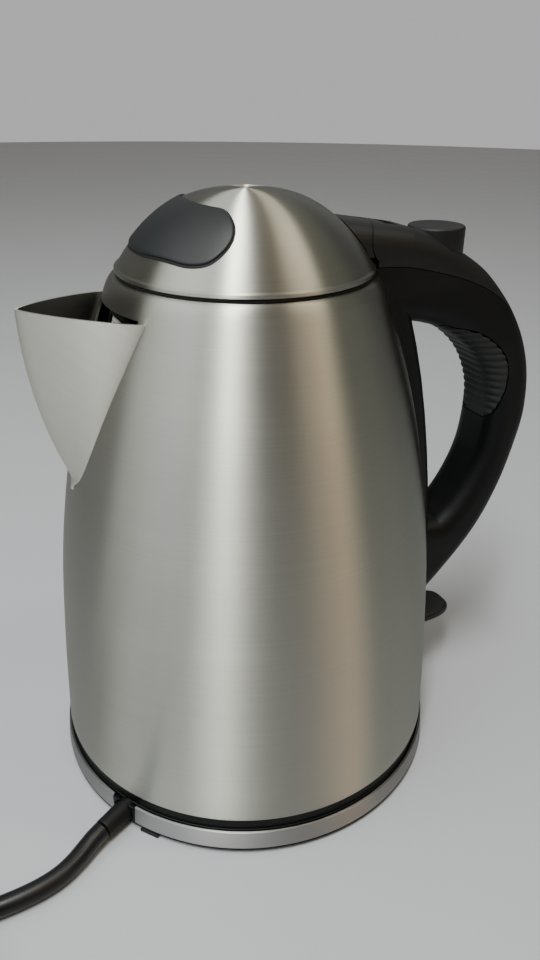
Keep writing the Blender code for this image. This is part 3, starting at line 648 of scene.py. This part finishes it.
def make_cord():
    x, y = COIL_CENTRE
    lead = smooth_points(CORD_ROUTE + [(x + 11.5, y + COIL_R, COIL_LOW_Z), (x, y + COIL_R, COIL_LOW_Z)], 3)
    turns = coil_points()
    tail = smooth_points([turns[-1]] + TAIL_ROUTE, 3)
    return tube("power_cord", lead + turns[:-1] + tail, CORD_D / 2, PVC, resolution=6)


def make_gland():
    """Slim tapered strain relief, from inside the base out to the cord."""
    length = EXIT_R - 0.6 - GLAND_R
    profile = [(0.0, length), (3.68, length), (3.74, length - 1.2), (4.1, 15.0), (4.6, 11.0), (4.6, 0.0),
               (0.0, 0.0)]
    piece = turned("strain_relief", profile, RUBBER, steps=48, fillet=0.25)
    along(piece, polar(GLAND_R, EXIT_ANGLE, EXIT_Z), polar(EXIT_R, EXIT_ANGLE, EXIT_Z))
    return place(settle(piece, 50), "base", "cord_gland", slot="rubber")


def make_tie():
    """Band tie round both turns of the coil."""
    outer = [(-5.3, 0.1), (5.3, 0.1), (5.3, 17.2), (-5.3, 17.2)]
    inner = [(-4.3, 0.8), (4.3, 0.8), (4.3, 16.4), (-4.3, 16.4)]
    outlines = [[tuple(p) for p in filleted(o, r, True, 6)] for o, r in ((outer, 2.6), (inner, 2.2))]
    x, y, _ = polar(COIL_R, TIE_ANGLE)
    tie = plate("coil_tie", outlines, 9.0, BLACK, upright=True, turn=math.radians(TIE_ANGLE),
                at=(COIL_CENTRE[0] + x, COIL_CENTRE[1] + y, 0))
    return place(tie, "base", "cord_tie", slot="black_plastic")


def make_plug():
    """Round plug lying on its back with its two pins up, its earth clips and its ribbed cable sleeve."""
    turn = math.radians(PLUG_ANGLE)
    centre = Vector(PLUG_CENTRE)
    across = Vector((-math.sin(turn), math.cos(turn)))
    out = Vector((math.cos(turn), math.sin(turn)))
    at = (*PLUG_CENTRE, 0)
    body = turned("plug_shell", [(0, 15.6), (13.2, 15.6), (13.8, 17.1), (17.4, 17.1), (18.3, 16.2),
                                 (18.4, 9.0), (17.6, 3.2), (15.4, 0.6), (12.0, 0.15), (0, 0.15)],
                  RUBBER, steps=96, at=at, fillet=0.8)
    body = settle(body)
    slots = []
    for side in (-1, 1):
        clip_at = at_angle(*(centre + across * CLIP_OUT * side), turn)
        slots.append(box("clip_room", (-2.6, -1.4, 8.0), (2.6, 1.4, 24.0), matrix=clip_at))
    body = cut_out(body, *slots)
    drop(*slots)
    profile = [(0.0, 0.0), (7.4, 0.0), (7.2, 4.0)]
    for i in range(5):
        start = 5.5 + 3.0 * i
        radius = 7.0 - 0.11 * start
        profile += [(radius, start), (radius - 0.7, start + 0.5), (radius - 0.75, start + 1.4),
                    (radius - 0.1, start + 1.8)]
    profile += [(4.9, 21.0), (4.2, 22.2), (0.0, 22.2)]
    sleeve = turned("plug_sleeve", list(reversed(profile)), RUBBER, steps=48, fillet=0.3)
    start, end = centre + out * 15.6, centre + out * 38.0
    along(sleeve, (*start, PLUG_AXIS_Z), (*end, PLUG_AXIS_Z))
    sleeve = place(settle(sleeve, 50), "base", slot="rubber")
    pieces = [place(body, "base", "plug_body", slot="rubber"), sleeve]
    prong = [(0, 36), (1.2, 35.8), (2.0, 35.1), (2.4, 34.0), (2.4, 10.3), (0, 10.3)]
    collar = [(2.4, 17.4), (3.4, 17.4), (3.9, 16.8), (3.9, 15.4), (2.4, 15.4)]
    for i, side in ((1, -1), (2, 1)):
        at = (*(centre + across * PRONG_OUT * side), 0)
        pin = turned(f"plug_prong_{i}", prong, NICKEL, steps=40, at=at, fillet=0.3)
        pieces.append(place(settle(pin), "base", f"plug_pin_{i}", slot="brass"))
        guard = turned(f"prong_sleeve_{i}", collar, RUBBER, steps=40, at=at, closed=True, fillet=0.3)
        pieces.append(place(settle(guard), "base", slot="rubber"))
        clip = box(f"earth_spring_{i}", (-2.3, -0.5, 8.4), (2.3, 0.5, 17.0), NICKEL, 0.3,
                   at_angle(*(centre + across * CLIP_OUT * side), turn))
        pieces.append(place(settle(clip), "base", f"earth_clip_{i}", slot="brass"))
    return pieces


def make_cord_set():
    cord = make_cord()
    pieces = [make_gland(), make_tie()] + make_plug()
    place(cord, "base", "cord", "cord_coil", "cord_tail", slot="rubber")


# ---- turned pieces of base, jug and lid ----

def make_port(exit_cut):
    """Black block in the notch of the steel band where the cord leaves; returns the notch's cutter."""
    turn = Matrix.Rotation(math.radians(EXIT_ANGLE), 4, "Z")
    block = box("cord_port", (BASE_R - 1.0, -PORT_HALF, BAND_BOTTOM + 0.1), (BASE_R, PORT_HALF, BAND_TOP),
                BLACK, 0.35, turn)
    place(cut_out(block, exit_cut), "base", slot="black_plastic")
    return box("notch", (74.0, -PORT_HALF - 0.2, 0.0), (84.0, PORT_HALF + 0.2, 14.0), matrix=turn)


def make_base():
    exit_cut = along(turned("exit_cut", rod(4.8, 36.0), steps=48),
                     polar(61.5, EXIT_ANGLE, EXIT_Z), polar(97.5, EXIT_ANGLE, EXIT_Z))
    notch = make_port(exit_cut)
    tray = turned("base_shell", [(0, 3.1), (76.0, 3.1), (76.0, 8.6), (TRAY_R, 8.6), (TRAY_R, 2.1),
                                 (BASE_R - 0.1, 2.1), (BASE_R - 0.1, 1.6), (0, 1.6)], BLACK, fillet=0.2)
    band = turned("base_ring", [(BASE_R - 1.6, BAND_TOP), (BASE_R - 0.6, BAND_TOP),
                                (BASE_R, BAND_BOTTOM + 0.2), (BASE_R - 0.1, BAND_BOTTOM),
                                (BASE_R - 0.9, BAND_BOTTOM), (BASE_R - 0.9, BAND_TOP - 1.2)],
                  BAND_STEEL, closed=True, fillet=0.25)
    top = turned("base_cover", [(24.0, 10.2), (68.6, 10.2), (69.0, 9.8), (70.4, 9.8), (70.8, 10.2),
                                (76.6, 10.2), (76.9, 9.9), (76.9, 8.9), (24.0, 8.9)],
                 BLACK, closed=True, fillet=0.2)
    for piece, cutter, node, slot in ((tray, exit_cut, "base_tray", "black_plastic"),
                                      (band, notch, "base_band", "steel"),
                                      (top, exit_cut, "base_top", "black_plastic")):
        place(cut_out(piece, cutter), "base", node, slot=slot)
    drop(exit_cut, notch)
    boss = [(0, 9.5), (3.6, 9.5), (3.6, BOSS_TOP), (8.8, BOSS_TOP), (8.8, 8.0), (11.4, 8.0),
            (11.4, BOSS_TOP), (BOSS_R - 0.6, BOSS_TOP), (BOSS_R, BOSS_TOP - 0.6), (BOSS_R, 10.2),
            (23.6, 10.2), (23.6, 8.6), (26.0, 8.6), (26.0, 3.4), (0, 3.4)]
    place(settle(turned("base_socket", boss, BLACK, steps=96, fillet=0.3)), "base", "base_connector",
          slot="black_plastic")


def make_jug_turned():
    """Floor, underside and connector of the jug."""
    radius = wall_radius(FLOOR_Z + 8) - WALL_THICK - 0.5
    floor = [(0, FLOOR_Z + 0.8), (radius - 2.2, FLOOR_Z + 0.8), (radius - 0.8, FLOOR_Z + 2.2),
             (radius - 0.8, FLOOR_Z + 4), (radius, FLOOR_Z + 4), (radius, FLOOR_Z + 1.6),
             (radius - 1.6, FLOOR_Z), (0, FLOOR_Z)]
    place(settle(turned("water_floor", floor, BAND_STEEL, fillet=0.6)), "jug", "jug_floor", slot="steel")
    holes = []
    for i in range(3):
        holes.append(turned("hole", rod(1.8, 16, 8), steps=24, at=polar(SCREW_RING, 30 + 120 * i)))
    cover = turned("jug_underside", [(26.4, 12.4), (74.6, 12.4), (74.6, 22.0), (75.9, 22.0), (75.9, 15.5),
                                     (76.6, 15.5), (76.6, 10.9), (76.2, 10.5), (26.4, 10.5)], BLACK,
                   closed=True, fillet=0.2)
    place(cut_out(cover, *holes), "jug", "jug_base_cover", slot="black_plastic")
    drop(*holes)
    plug = [(0, 30.2), (25.0, 30.2), (25.9, 29.3), (25.9, 10.9), (17.2, 10.9), (17.2, 26.7), (10.7, 26.7),
            (10.7, 12.6), (9.5, 12.6), (9.5, 26.7), (3.0, 26.7), (3.0, 12.0), (0, 12.0)]
    place(settle(turned("jug_socket", plug, BLACK, steps=96, fillet=0.3)), "connector", "kettle_connector",
          slot="black_plastic")


def make_lid():
    edge = [(44.15, 202.45), (44.35, 202.2), (44.9, 202.0), (45.3, 201.7), (FLANGE_R, 201.2),
            (FLANGE_R, 200.7), (45.2, 200.45), (44.4, 200.4)]
    inner = list(reversed(dome_profile(-0.8, 24)))
    dome = settle(turned("lid_cap", dome_profile(0.0, 48) + edge + inner, STEEL), 30)
    place(dome, "lid", "lid_dome", slot="steel")
    seal = [(38.4, 200.1), (45.0, 200.1), (45.0, 199.3), (41.2, 199.3), (40.8, 193.0), (38.4, 193.0)]
    seal = settle(turned("lid_gasket", seal, RUBBER, closed=True, fillet=0.3))
    place(seal, "lid", "lid_seal", slot="rubber")
    plug = [(0, 198.6), (36.4, 198.6), (36.4, 199.7), (38.1, 199.7), (38.1, 188.0), (36.4, 188.0),
            (36.4, 197.0), (0, 197.0)]
    place(settle(turned("lid_core", plug, PALE, fillet=0.5)), "lid", "lid_inner", slot="pale_plastic")


def pad_outline():
    """Soft-cornered shield seen from above, for the pad on the spout side."""
    half = [(20.8, 4.0), (19.8, 9.6), (17.6, 13.6), (15.4, 17.2), (14.8, 21.0), (15.2, 25.4), (17.0, 28.5),
            (20.2, 30.1), (24.4, 30.1), (27.8, 28.4), (31.3, 24.9), (34.3, 19.8), (37.0, 13.6), (38.9, 7.0)]
    far = [(x, -y) for x, y in reversed(half)]
    return smooth_points([(-x, y) for x, y in [(21.1, 0.0)] + half + [(39.5, 0.0)] + far], 5, True)


def on_dome(x, y, raised):
    """Point above the dome at a plan place, raised along its normal."""
    part = math.hypot(x, y) / DOME_R
    _, z = dome_point(part)
    out, up = dome_normal(part)
    reach = 1.0 + raised * out / max(math.hypot(x, y), 0.001)
    return (x * reach * MM, y * reach * MM, (z + raised * up) * MM)


def dome_inlay(name, mat, rings):
    """Shield-shaped piece on the dome; the rings are (inset from the outline, height above the dome)."""
    outline = [Vector(p) for p in pad_outline()]
    count = len(outline)
    inward = []
    for i, p in enumerate(outline):
        run = outline[(i + 1) % count] - outline[i - 1]
        inward.append(Vector((-run.y, run.x)).normalized())
    middle = sum(outline, Vector((0.0, 0.0))) / count
    if (middle - outline[0]).dot(inward[0]) < 0:
        inward = [-v for v in inward]
    grid = [[on_dome(*(p + v * inset), raised) for p, v in zip(outline, inward)] for inset, raised in rings]
    last = [p + v * rings[-1][0] for p, v in zip(outline, inward)]
    for share in (0.88, 0.76, 0.64, 0.52, 0.4, 0.28, 0.16, 0.06):
        grid.append([on_dome(*(middle + (p - middle) * share), rings[-1][1]) for p in last])
    bm = bmesh.new()
    rows = [[bm.verts.new(p) for p in row] for row in grid]
    for lower, upper in zip(rows, rows[1:]):
        for i in range(count):
            k = (i + 1) % count
            bm.faces.new((lower[i], lower[k], upper[k], upper[i]))
    bm.faces.new(rows[-1])
    bm.faces.new(list(reversed(rows[0])))
    return settle(solid(name, bm, mat), 60)


def make_pad():
    """Slate pad let onto the dome with a rounded edge, over a thin black ring that shows all round it as
    painted shade in the gap at the pad's edge.
    """
    pad = dome_inlay("lid_shield", SLATE, [(0.0, -0.4), (0.0, 0.32), (0.06, 0.52), (0.22, 0.68), (0.5, 0.77),
                                           (0.9, PAD_RAISE)])
    place(pad, "lid", "lid_pad", slot="slate_inlay")
    # Black ring just outside the pad's edge: painted shade for the gap round it
    shadow_ring = dome_inlay("shield_shadow_ring", RUBBER, [(-0.55, -0.3), (-0.55, 0.08), (-0.45, 0.16), (0.3, 0.2)])
    place(shadow_ring, "lid", slot="rubber")


# ---- jug wall and spout ----

def spout_half(z):
    """Half the width of the spout where it meets the wall."""
    fall = min(max((SPOUT_TOP - z) / (SPOUT_TOP - SPOUT_BOTTOM), 0.0), 1.0)
    return max(SPOUT_HALF * (1.0 - fall) ** 0.47, 0.6)


def spout_ridge(z):
    """How far the spout's front edge stands from the axis."""
    fall = max((SPOUT_TOP + SPOUT_RISE - z) / SPOUT_FALL, 0.0)
    return SPOUT_REACH - SPOUT_LEAN * fall ** 2.2


def wall_solid(name, grow):
    """Cutter of the jug's whole outer shape, grown by a gap."""
    top, bottom = 199.4, 5
    side = [(r + grow, z + (grow if z > 197 else 0.0)) for z, r in reversed(WALL)]
    return turned(name, [(0, top), (side[0][0], top)] + side + [(side[-1][0], bottom), (0, bottom)])


def make_wall():
    """Jug wall, with its opening into the spout."""
    outer = [(r, z) for z, r in reversed(smooth_points(WALL, 3))]
    foot = [(77.25, 15.45), (77.0, 15.35), (76.6, 15.45)]
    inner = [(r - WALL_THICK, z) for z, r in WALL[:-4]]
    inner += [(46.4, 197.6), (45.4, 198.1), (43.4, 198.2)]
    wall = turned("jug_shell", outer + foot + inner, STEEL, closed=True)
    half = [(spout_half(z) - 1.6, z) for z in (189.0, 184.0, 178.0, 171.0, 163.0, 155.0, 147.0, 140.0)]
    right = [(SPOUT_HALF - 2.4, 191.4)] + half + [(0.0, 134.0)]
    left = [(-y, z) for y, z in reversed(right[:-1])]
    opening = plate("opening", [right + left], 50.0, upright=True, turn=math.pi / 2, at=(-60, 0, 0))
    wall = cut_out(wall, opening, angle=32)
    drop(opening)
    place(wall, "jug", "jug_wall", slot="steel")


def make_spout():
    """V-shaped spout of one sheet; its edges are buried a little in the wall."""
    levels, across, bury = 44, 72, 0.5
    bm = bmesh.new()
    grid = []
    for i in range(levels + 1):
        level = i / levels
        z = SPOUT_TOP + (SPOUT_BOTTOM - 2.5 - SPOUT_TOP) * level
        half = spout_half(z)
        root = math.sqrt((wall_radius(z) - bury) ** 2 - half ** 2)
        reach = max(spout_ridge(z) - root, 0.5)
        row = []
        for k in range(across + 1):
            angle = math.pi * k / across
            out = abs(math.sin(angle)) ** 1.6
            side = abs(math.cos(angle)) ** 1.6 * (1 if k * 2 < across else -1)
            rise = SPOUT_RISE * out * (1.0 - level)
            row.append(bm.verts.new(Vector((-(root + reach * out), -half * side, z + rise)) * MM))
        grid.append(row)
    for upper, lower in zip(grid, grid[1:]):
        for k in range(across):
            bm.faces.new((upper[k], lower[k], lower[k + 1], upper[k + 1]))
    # The sheet's inner side takes the dark steel, painted shade
    spout = solid("spout_sheet", bm, SPOUT_SHADE_STEEL)
    # Its outer side and rim take the lighter steel, painted light
    spout.data.materials.append(SPOUT_LIT_STEEL)
    sheet = spout.modifiers.new("sheet", "SOLIDIFY")
    sheet.thickness = WALL_THICK * MM
    sheet.offset = -1.0
    sheet.material_offset = 1
    sheet.material_offset_rim = 1
    place(settle(spout, 40), "jug", "spout", slot="steel")


def make_filter():
    """Filter frame behind the spout's opening, with a woven panel."""
    lean = (Matrix.Translation(Vector(FILTER_AT) * MM)
            @ Matrix.Rotation(math.radians(FILTER_LEAN), 4, "Y"))
    border = box("filter_border", (-1.0, -17, -24), (1.0, 17, 24), BLACK, bevel=0.4)
    window = box("window", (-2.0, -14.5, -21.5), (2.0, 14.5, 21.5))
    border = cut_out(border, window)
    drop(window)
    border.data.transform(lean)
    place(border, "jug", "filter_frame", slot="black_plastic")
    bm = bmesh.new()
    bmesh.ops.create_grid(bm, x_segments=34, y_segments=24, size=0.5)
    bmesh.ops.scale(bm, vec=(42.4 * MM, 28.4 * MM, 1.0), verts=bm.verts)
    bmesh.ops.rotate(bm, matrix=Matrix.Rotation(math.pi / 2, 3, "Y"), verts=bm.verts)
    weave = solid("filter_weave", bm, PALE)
    wires = weave.modifiers.new("wires", "WIREFRAME")
    wires.thickness = 0.36 * MM
    weave.matrix_world = lean
    place(settle(weave), "jug", "filter_mesh", slot="pale_plastic")


# ---- handle ----

def parting_line(grow):
    """Line between handle body and top cover, as (x, z) from front to back."""
    line = [(30, 199.2), (56, 198.0), (69, 195.6), (85, 191.2), (97, 186.2), (108, 179.7), (124, 167.2)]
    return [(x, z + grow) for x, z in smooth_points(line, 3)]


def handle_solid(name, mat=None, shrink=0.0):
    """The whole handle with its finger opening, or a smaller copy of it."""
    outer = [(30.0, 216.5)] + smooth_points(HANDLE_OUTER, 5)
    outer += [(84.0, 43.0), (70, 43.0), (62, 60), (60, 100), (55, 130), (46, 160), (38, 185), (30, 198.6)]
    spine = [(wall_radius(z) + SPINE_PROUD, z) for z in (88, 104, 120, 136, 152, 166)]
    hole = [(85.4, 82.4)] + spine + [(67.2, 175.2)] + smooth_points(OPENING_LOOP, 5)
    return plate(name, [outer, hole], HANDLE_W - 2 * shrink, mat, rounding=HANDLE_ROUND - shrink,
                 upright=True, grow=-shrink, resolution=8)


def nose_zone(name, radius, low):
    """Cutter of all that lies in front of an arc about the lid's pin, above a height."""
    x, z = HINGE
    last = 180.0 + math.degrees(math.asin((z - max(low, z - 6.0)) / radius))
    arc = [polar(radius, last + (133.0 - last) * i / 24) for i in range(25)]
    foot = [(20, low), (46.4, low), (46.4, 201.0)] if low < 201 else [(20, low)]
    return side_cutter(name, foot + [(x + a, z + b) for a, b, _ in arc] + [(45.2, 230), (20, 230)])


def level_shading(obj):
    """Keep flat sides flat beside their rounded edges."""
    weighted = obj.modifiers.new("weighted", "WEIGHTED_NORMAL")
    weighted.keep_sharp = True


def make_handle():
    """Handle body and top cover, cut from one shape, with the grip and gauge let into them."""
    wall_cut = settle(wall_solid("wall_cut", GAP))
    above = side_cutter("above", parting_line(0.0) + [(124, 230), (30, 230)])
    below = side_cutter("below", parting_line(GAP) + [(140, 160), (140, 30), (30, 30)])
    zone_line = [(79.5, 172.4), (86, 171.2), (92.4, 169.9), (100, 166.9), (107.8, 161.2), (112.4, 155.6),
                 (114.2, 150), (GRIP_FRONT, 144), (113.6, 137), (111.8, 130.5), (108.6, 125.6), (100, 124),
                 (90, 138), (82, 156), (77, 168)]
    zone_line = smooth_points(zone_line, 4, True)
    core = handle_solid("core", shrink=1.9)
    recess = cut_out(side_cutter("recess", zone_line, grow=GAP), core)
    bore = turned("bore", rod(BUTTON_R + 0.35, 230, 191), steps=96, at=(BUTTON_X, 0, 0))
    well = turned("well", rod(7.6, 196, 183), steps=48, at=(BUTTON_X, 0, 0))
    (x0, z0), (x1, z1) = [(wall_radius(z) + SPINE_PROUD, z) for z in GAUGE_Z]
    lean = math.atan2(x1 - x0, z1 - z0)
    half = math.hypot(x1 - x0, z1 - z0) / 2
    gauge = (Matrix.Translation(((x0 + x1) / 2 * MM, 0, (z0 + z1) / 2 * MM))
             @ Matrix.Rotation(lean, 4, "Y"))
    channel = box("channel", (-4.2, -3.8, -half - GAP), (7.0, 3.8, half + GAP), matrix=gauge)
    body = cut_out(handle_solid("handle_shell", BLACK), above, wall_cut, bore, well, recess, channel)
    level_shading(body)
    place(body, "jug", "handle_body", slot="black_plastic")
    cavity = box("cavity", (56.8, -6.5, 190), (76, 6.5, 206.5))
    slot = box("slot", (40, -5.8, 190), (58.4, 5.8, 230))
    nose = nose_zone("nose", HINGE_NOSE, 190.0)
    pocket = box("pocket", (48.4, 6.9, 190), (56.2, 10.6, 210.6))
    pin_hole = along(turned("pin_hole", rod(PIN_ROOM, 23), steps=32),
                     (HINGE[0], -10.8, HINGE[1]), (HINGE[0], 12.2, HINGE[1]))
    cover = cut_out(handle_solid("handle_cover", COVER), below, wall_cut, nose, bore, cavity, slot, pocket,
                    pin_hole)
    level_shading(cover)
    place(cover, "jug", "handle_top_cover", slot="black_plastic")
    make_grip(zone_line)
    make_gauge(gauge, half)
    drop(wall_cut, above, below, recess, core, bore, well, channel, cavity, slot, nose, pocket, pin_hole)


def make_grip(zone_line):
    """Soft grip round the loop's inner edge, with shallow ribs across it."""
    zone = side_cutter("zone", zone_line)
    core = handle_solid("grip_core", shrink=1.6)
    grip = handle_solid("grip_pad", GRIP)
    boolean(grip, zone, "INTERSECT")
    grip = cut_out(grip, core)
    remesh = grip.modifiers.new("remesh", "REMESH")
    remesh.mode = "VOXEL"
    remesh.voxel_size = 0.42 * MM
    grip = settle(grip, 80)
    drop(zone, core)
    normals = [vertex.normal.copy() for vertex in grip.data.vertices]
    for vertex, normal in zip(grip.data.vertices, normals):
        x, _, z = vertex.co / MM
        inward = min(max((GRIP_FRONT - x) / 30.0, 0.0), 1.0)
        slant = z + 0.10 * (x - 110.0) * (150.0 - z) / 14.0
        wave = 0.5 + 0.5 * math.cos(2 * math.pi * slant / RIB_PITCH)
        groove = wave ** 1.5 * min(inward * 10.0, 1.0)
        vertex.co -= normal * RIB_DEPTH * groove * MM
    place(grip, "jug", "grip_insert", slot="ribbed_grip")


def make_gauge(gauge, half):
    """Water gauge in the outer face of the spine: a clear strip with level marks, and a float behind it."""
    window = box("gauge_pane", (-1.8, -3.5, -half), (-0.6, 3.5, half), CLEAR, 0.3, gauge)
    place(settle(window), "jug", "gauge_window", slot="clear_window")
    ball = box("gauge_bead", (-3.8, -2.2, -14), (-2.2, 2.2, -6), PALE, 0.7, gauge)
    place(settle(ball), "jug", "gauge_float", slot="pale_plastic")
    for i in range(7):
        z = -half + 6 + i * (2 * half - 12) / 6
        reach = 2.6 if i % 3 == 0 else 1.5
        mark = box(f"gauge_mark_{i + 1}", (-0.62, -reach, z - 0.25), (-0.5, reach, z + 0.25), PALE, 0.04,
                   gauge)
        place(settle(mark), "jug", slot="pale_plastic")


def make_hinge_block():
    """Lid's side of the hinge: it carries the cover's shape to the dome, and its knuckle turns on the pin."""
    x, z = HINGE
    block = handle_solid("hinge_block", COVER)
    nose = nose_zone("block_front", HINGE_NOSE + 0.4, 202.6)
    boolean(block, nose, "INTERSECT")
    flange = FLANGE_R + 0.4
    dome = turned("dome_room", dome_profile(0.4, 48) + [(flange, 202.0), (flange, 190), (0, 190)])
    block = cut_out(block, dome)
    web = [(45.2, 203.4), (x, 202.1), (x, 212.7), (45, 213.8), (42.4, 212.5), (42.2, z), (43.4, 204.6)]
    web = plate("block_web", [web], 2 * KNUCKLE_HALF, upright=True)
    knuckle = along(turned("knuckle", rod(KNUCKLE_R, 2 * KNUCKLE_HALF), steps=64),
                    (x, KNUCKLE_HALF, z), (x, -KNUCKLE_HALF, z))
    bore = along(turned("knuckle_bore", rod(PIN_ROOM, 18), steps=32), (x, 9, z), (x, -9, z))
    boolean(block, web, "UNION")
    boolean(block, knuckle, "UNION")
    block = cut_out(block, bore)
    level_shading(block)
    place(block, "lid", "lid_hinge_arm", slot="black_plastic")
    drop(nose, dome, web, knuckle, bore)


def make_button():
    """Round thumb button with a dished top, on a stem."""
    profile = [(0, BUTTON_TOP - 0.55), (5.0, BUTTON_TOP - 0.42), (8.6, BUTTON_TOP - 0.05), (10.0, BUTTON_TOP),
               (BUTTON_R - 0.35, BUTTON_TOP - 0.15), (BUTTON_R, BUTTON_TOP - 0.7), (BUTTON_R, 196.5),
               (3.2, 196.5), (3.2, 188.5), (0, 188.5)]
    button = settle(turned("lid_button", profile, COVER, steps=96, at=(BUTTON_X, 0, 0), fillet=0.35))
    place(button, "button", "thumb_button", slot="black_plastic")


def make_press_spring():
    """Coil spring under the button, a fixed coil that rides on the jug and doesn't shorten as the button goes
    down.
    """
    low, high = SPRING_Z
    count = 24 * 4           # points a turn, and turns
    coil = []
    for i in range(count + 1):
        x, y, _ = polar(SPRING_R, 15.0 * i)
        coil.append((BUTTON_X + x, y, low + (high - low) * i / count))
    spring = place(settle(tube("press_spring", coil, 0.5, WIRE_STEEL)), "jug", "button_spring", slot="steel")
    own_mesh(spring)


def make_lever():
    """Switch lever: a lobed paddle that stands out of the jug's foot below the handle."""
    outline = []
    for i in range(61):
        angle = math.radians(-90 + 3 * i)
        reach, aside = abs(math.cos(angle)) ** 0.6, abs(math.sin(angle)) ** 0.6
        outline.append((LEVER_ROOT + (LEVER_REACH - LEVER_ROOT) * reach,
                        math.copysign(LEVER_HALF * aside, angle)))
    outline += [(68, LEVER_HALF), (68, -LEVER_HALF)]
    low, high = LEVER_Z
    x, z = LEVER_PIVOT
    lever = plate("switch_paddle", [outline], high - low, COVER, rounding=1.7,
                  at=(0, 0, (low + high) / 2))
    wall_cut = settle(wall_solid("lever_wall", 1.0))
    notch = box("notch", (60, -5.6, 20), (x + 4.0, 5.6, 60))
    bore = along(turned("bore", rod(1.3, 18.4), steps=24), (x, -9.2, z), (x, 9.2, z))
    lever = cut_out(lever, wall_cut, notch, bore)
    level_shading(lever)
    place(lever, "lever", "switch_lever", slot="black_plastic")
    drop(wall_cut, notch, bore)


# ---- CAD nodes that stay ----

CARRIED = ((BRASS, "line_contact"),
           (RUBBER, "foot_1 foot_2 foot_3 foot_4 rim_tab"),
           (NICKEL, "base_screw_1 base_screw_2 base_screw_3 cover_screw_1 cover_screw_2 cover_screw_3"),
           (ALUMINIUM, "heater_plate heating_ring"),
           (WIRE_STEEL, "lid_spring hinge_pin lever_pin"),
           (BLACK, "lever_bracket"),
           (PALE, "control_unit latch_slider"))


def dress_carried():
    """Procedural materials on the CAD nodes that are shown as they are."""
    for mat, names in CARRIED:
        for name in names.split():
            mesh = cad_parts[name].data
            mesh.materials.clear()
            mesh.materials.append(mat)
            finish_mesh(mesh, 32.0)


def build():
    make_camera()
    make_cord_set()
    make_world()
    make_lights()
    make_floor()
    make_wall()
    make_spout()
    make_filter()
    make_base()
    make_jug_turned()
    make_lid()
    make_pad()
    make_handle()
    make_hinge_block()
    make_button()
    make_press_spring()
    make_lever()
    dress_carried()


build()
